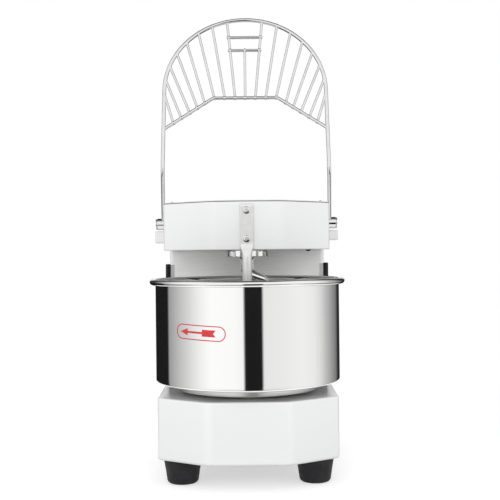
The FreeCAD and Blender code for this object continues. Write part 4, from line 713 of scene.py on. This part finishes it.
for button in ("start_button", "stop_button"):
    low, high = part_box(button)
    place = Matrix.Translation((panel_face, high[1] + MARK_GAP, (low[2] + high[2]) / 2)) @ facing_right
    if button == "start_button":
        bar = place @ Matrix.Diagonal((*MARK_BAR, 1, 1))
        bmesh.ops.create_grid(bm, x_segments=1, y_segments=1, size=0.5, matrix=bar)
    else:
        circle = bmesh.ops.create_circle(bm, cap_ends=True, segments=RING_SIDES, radius=MARK_RADIUS,
                                         matrix=place)["verts"]
        disc = list({f for v in circle for f in v.link_faces})
        ring = bmesh.ops.inset_region(bm, faces=disc, thickness=MARK_LINE, use_even_offset=True,
                                       use_boundary=True)["faces"]
        bmesh.ops.delete(bm, geom=[f for f in disc if f.is_valid and f not in ring], context="FACES_ONLY")
add_piece("panel_marks", bm, black_plastic, "casing")


# Studio: a white sheet on the floor, an even soft light, and cards that polished steel shows as light and dark stripes.
# The sheet and the background are seen white, and the sheet keeps the machine's shadow.
FLOOR_SIZE, FLOOR_MIDDLE, FLOOR_WHITE = (0.8, 1.1), (0, 0.15, 0), 0.56
floor_sheet, tree, shader = new_finish("studio_floor", (0.62, 0.62, 0.62), 0.0, 0.9)
shader.inputs["Specular IOR Level"].default_value = 0.0
shader.inputs["Emission Color"].default_value = (1, 1, 1, 1)


def share_seen(tree):
    """1 where the camera, metal or glass looks, and 0 for the rays that only light the machine."""
    light_path = tree.nodes.new("ShaderNodeLightPath")
    share = light_path.outputs["Is Camera Ray"]
    for ray in ("Is Glossy Ray", "Is Transmission Ray"):
        added = tree.nodes.new("ShaderNodeMath")
        added.operation, added.use_clamp = "ADD", True
        tree.links.new(share, added.inputs[0])
        tree.links.new(light_path.outputs[ray], added.inputs[1])
        share = added.outputs["Value"]
    return share


seen_white = tree.nodes.new("ShaderNodeMath")
seen_white.operation = "MULTIPLY"
seen_white.inputs[1].default_value = FLOOR_WHITE
tree.links.new(share_seen(tree), seen_white.inputs[0])
tree.links.new(seen_white.outputs["Value"], shader.inputs["Emission Strength"])
bm = bmesh.new()
bmesh.ops.create_grid(bm, x_segments=1, y_segments=1, size=0.5,
                      matrix=Matrix.Translation(FLOOR_MIDDLE) @ Matrix.Diagonal((*FLOOR_SIZE, 1, 1)))
floor_mesh = bpy.data.meshes.new("studio_floor")
bm.to_mesh(floor_mesh)
bm.free()
floor_mesh.materials.append(floor_sheet)
floor = bpy.data.objects.new("studio_floor", floor_mesh)
bpy.context.scene.collection.objects.link(floor)

# Angle round the studio in degrees, 0 straight in front and right positive, with the brightness seen there
STUDIO_STRIPES = ((-180, 0.012), (-116.5, 0.012), (-112.5, 0.36), (-105, 0.43), (-80, 0.7), (-62, 0.93), (-46, 1.08),
                  (-17, 1.06), (-5.2, 1.0), (-3.6, 0.012), (17.4, 0.012), (19.4, 0.87), (70, 0.95), (89, 0.9),
                  (100, 0.78), (113, 0.54), (129, 0.33), (142, 0.2), (150, 0.03), (180, 0.012))
# The dark card in front stands up to about the height of the eye, and this is what is seen above it
STUDIO_ABOVE = ((-180, 0.02), (-140, 0.05), (-115, 0.5), (-90, 1.0), (90, 1.0), (115, 0.5), (140, 0.05), (180, 0.02))
CARD_TOP, CARD_FADE = -0.02, 0.03
# The white backdrop, straight behind the machine and not far above the floor, which the base's glossy top mirrors
BACKDROP_AROUND = ((-180, 1.0), (-167, 1.0), (-162, 0.0), (162, 0.0), (167, 1.0), (180, 1.0))
BACKDROP_HEIGHTS = ((-1, 0.0), (0.02, 0.0), (0.05, 1.0), (0.22, 1.0), (0.28, 0.0), (1, 0.0))
# Sine of the height seen, with the share of that brightness that is left there
STUDIO_HEIGHTS = ((-1, 0.25), (-0.45, 0.3), (-0.22, 1.0), (0.8, 1.0), (0.95, 0.2), (1, 0.2))
AMBIENT = 0.84
KEY_SIZE, KEY_ENERGY, KEY_PLACE, KEY_AIM = (2.4, 1.8), 28, Vector((-0.3, -2.9, 0.8)), Vector((0, 0, 0.35))
world = bpy.data.worlds.new("studio")
bpy.context.scene.world = world
world.use_nodes = True
tree = world.node_tree


def brightness_ramp(levels):
    """A colour ramp through pairs of a place and the brightness there, from the first place to the last."""
    low, high = levels[0][0], levels[-1][0]
    ramp = tree.nodes.new("ShaderNodeValToRGB")
    for place, level in levels[1:-1]:
        ramp.color_ramp.elements.new((place - low) / (high - low))
    for element, (place, level) in zip(ramp.color_ramp.elements, levels):
        element.position = (place - low) / (high - low)
        element.color = (level, level, level, 1)
    return ramp


def share_of_range(value, low, high):
    """The share of the way from low to high at which a value lies, kept within 0 and 1."""
    share = tree.nodes.new("ShaderNodeMapRange")
    share.inputs["From Min"].default_value, share.inputs["From Max"].default_value = low, high
    tree.links.new(value, share.inputs["Value"])
    return share.outputs["Result"]


def choose_color(factor):
    """A colour mix: returns its first colour input, its second and its result."""
    mix = tree.nodes.new("ShaderNodeMix")
    mix.data_type = "RGBA"
    tree.links.new(factor, mix.inputs[0])
    first, second = [socket for socket in mix.inputs if socket.type == "RGBA"]
    result = [socket for socket in mix.outputs if socket.type == "RGBA"][0]
    return first, second, result


direction = tree.nodes.new("ShaderNodeTexCoord")
parts = tree.nodes.new("ShaderNodeSeparateXYZ")
tree.links.new(direction.outputs["Generated"], parts.inputs["Vector"])
forward = tree.nodes.new("ShaderNodeMath")
forward.operation = "MULTIPLY"
forward.inputs[1].default_value = -1
tree.links.new(parts.outputs["Y"], forward.inputs[0])
around = tree.nodes.new("ShaderNodeMath")
around.operation = "ARCTAN2"
tree.links.new(parts.outputs["X"], around.inputs[0])
tree.links.new(forward.outputs["Value"], around.inputs[1])
turned = share_of_range(around.outputs["Value"], -pi, pi)
stripes, above = brightness_ramp(STUDIO_STRIPES), brightness_ramp(STUDIO_ABOVE)
tree.links.new(turned, stripes.inputs["Fac"])
tree.links.new(turned, above.inputs["Fac"])
low_view, high_view, around_view = choose_color(share_of_range(parts.outputs["Z"], CARD_TOP, CARD_FADE))
tree.links.new(stripes.outputs["Color"], low_view)
tree.links.new(above.outputs["Color"], high_view)
levels = brightness_ramp(STUDIO_HEIGHTS)
tree.links.new(share_of_range(parts.outputs["Z"], -1, 1), levels.inputs["Fac"])
dimmed = tree.nodes.new("ShaderNodeVectorMath")
dimmed.operation = "MULTIPLY"
tree.links.new(around_view, dimmed.inputs[0])
tree.links.new(levels.outputs["Color"], dimmed.inputs[1])
behind, low_behind = brightness_ramp(BACKDROP_AROUND), brightness_ramp(BACKDROP_HEIGHTS)
tree.links.new(turned, behind.inputs["Fac"])
tree.links.new(share_of_range(parts.outputs["Z"], -1, 1), low_behind.inputs["Fac"])
backdrop = tree.nodes.new("ShaderNodeMath")
backdrop.operation = "MULTIPLY"
tree.links.new(behind.outputs["Color"], backdrop.inputs[0])
tree.links.new(low_behind.outputs["Color"], backdrop.inputs[1])
in_front, backdrop_white, mirrored = choose_color(backdrop.outputs["Value"])
tree.links.new(dimmed.outputs["Vector"], in_front)
backdrop_white.default_value = (1, 1, 1, 1)
soft, plain_white, seen = choose_color(share_seen(tree))
soft.default_value = (AMBIENT, AMBIENT, AMBIENT, 1)
plain_white.default_value = (1, 1, 1, 1)
no_cards, cards, shaded = choose_color(tree.nodes.new("ShaderNodeLightPath").outputs["Is Glossy Ray"])
no_cards.default_value = (1, 1, 1, 1)
tree.links.new(mirrored, cards)
room = tree.nodes.new("ShaderNodeVectorMath")
room.operation = "MULTIPLY"
tree.links.new(seen, room.inputs[0])
tree.links.new(shaded, room.inputs[1])
tree.links.new(room.outputs["Vector"], tree.nodes["Background"].inputs["Color"])

key = bpy.data.lights.new("studio_key", "AREA")
key.shape = "RECTANGLE"
(key.size, key.size_y), key.energy = KEY_SIZE, KEY_ENERGY
key_light = bpy.data.objects.new("studio_key", key)
key_light.location = KEY_PLACE
key_light.visible_glossy = False
key_light.rotation_euler = (KEY_AIM - KEY_PLACE).to_track_quat("-Z", "Y").to_euler()
bpy.context.scene.collection.objects.link(key_light)


# Camera: level with the head's lower edge, 1.2 m in front of the base, turned and rolled by less than a degree.
CAMERA_DISTANCE, CAMERA_HEIGHT, SENSOR = 1335 * MM, 310 * MM, 36.0
FOCAL_PIXELS, FRAME_PIXELS, OFF_CENTRE_PIXELS, ROLL_DEG = 952.0, 500.0, 3.2, 0.6
camera = bpy.data.cameras.new("camera")
camera.sensor_width = SENSOR
camera.lens = FOCAL_PIXELS / FRAME_PIXELS * SENSOR
viewpoint = bpy.data.objects.new("camera", camera)
viewpoint.location = (0, bowl_axis_y - CAMERA_DISTANCE, CAMERA_HEIGHT)
viewpoint.rotation_euler = (radians(90), radians(ROLL_DEG), -atan2(OFF_CENTRE_PIXELS, FOCAL_PIXELS))
bpy.context.scene.collection.objects.link(viewpoint)
bpy.context.scene.camera = viewpoint
bpy.context.scene.view_settings.view_transform = "Standard"
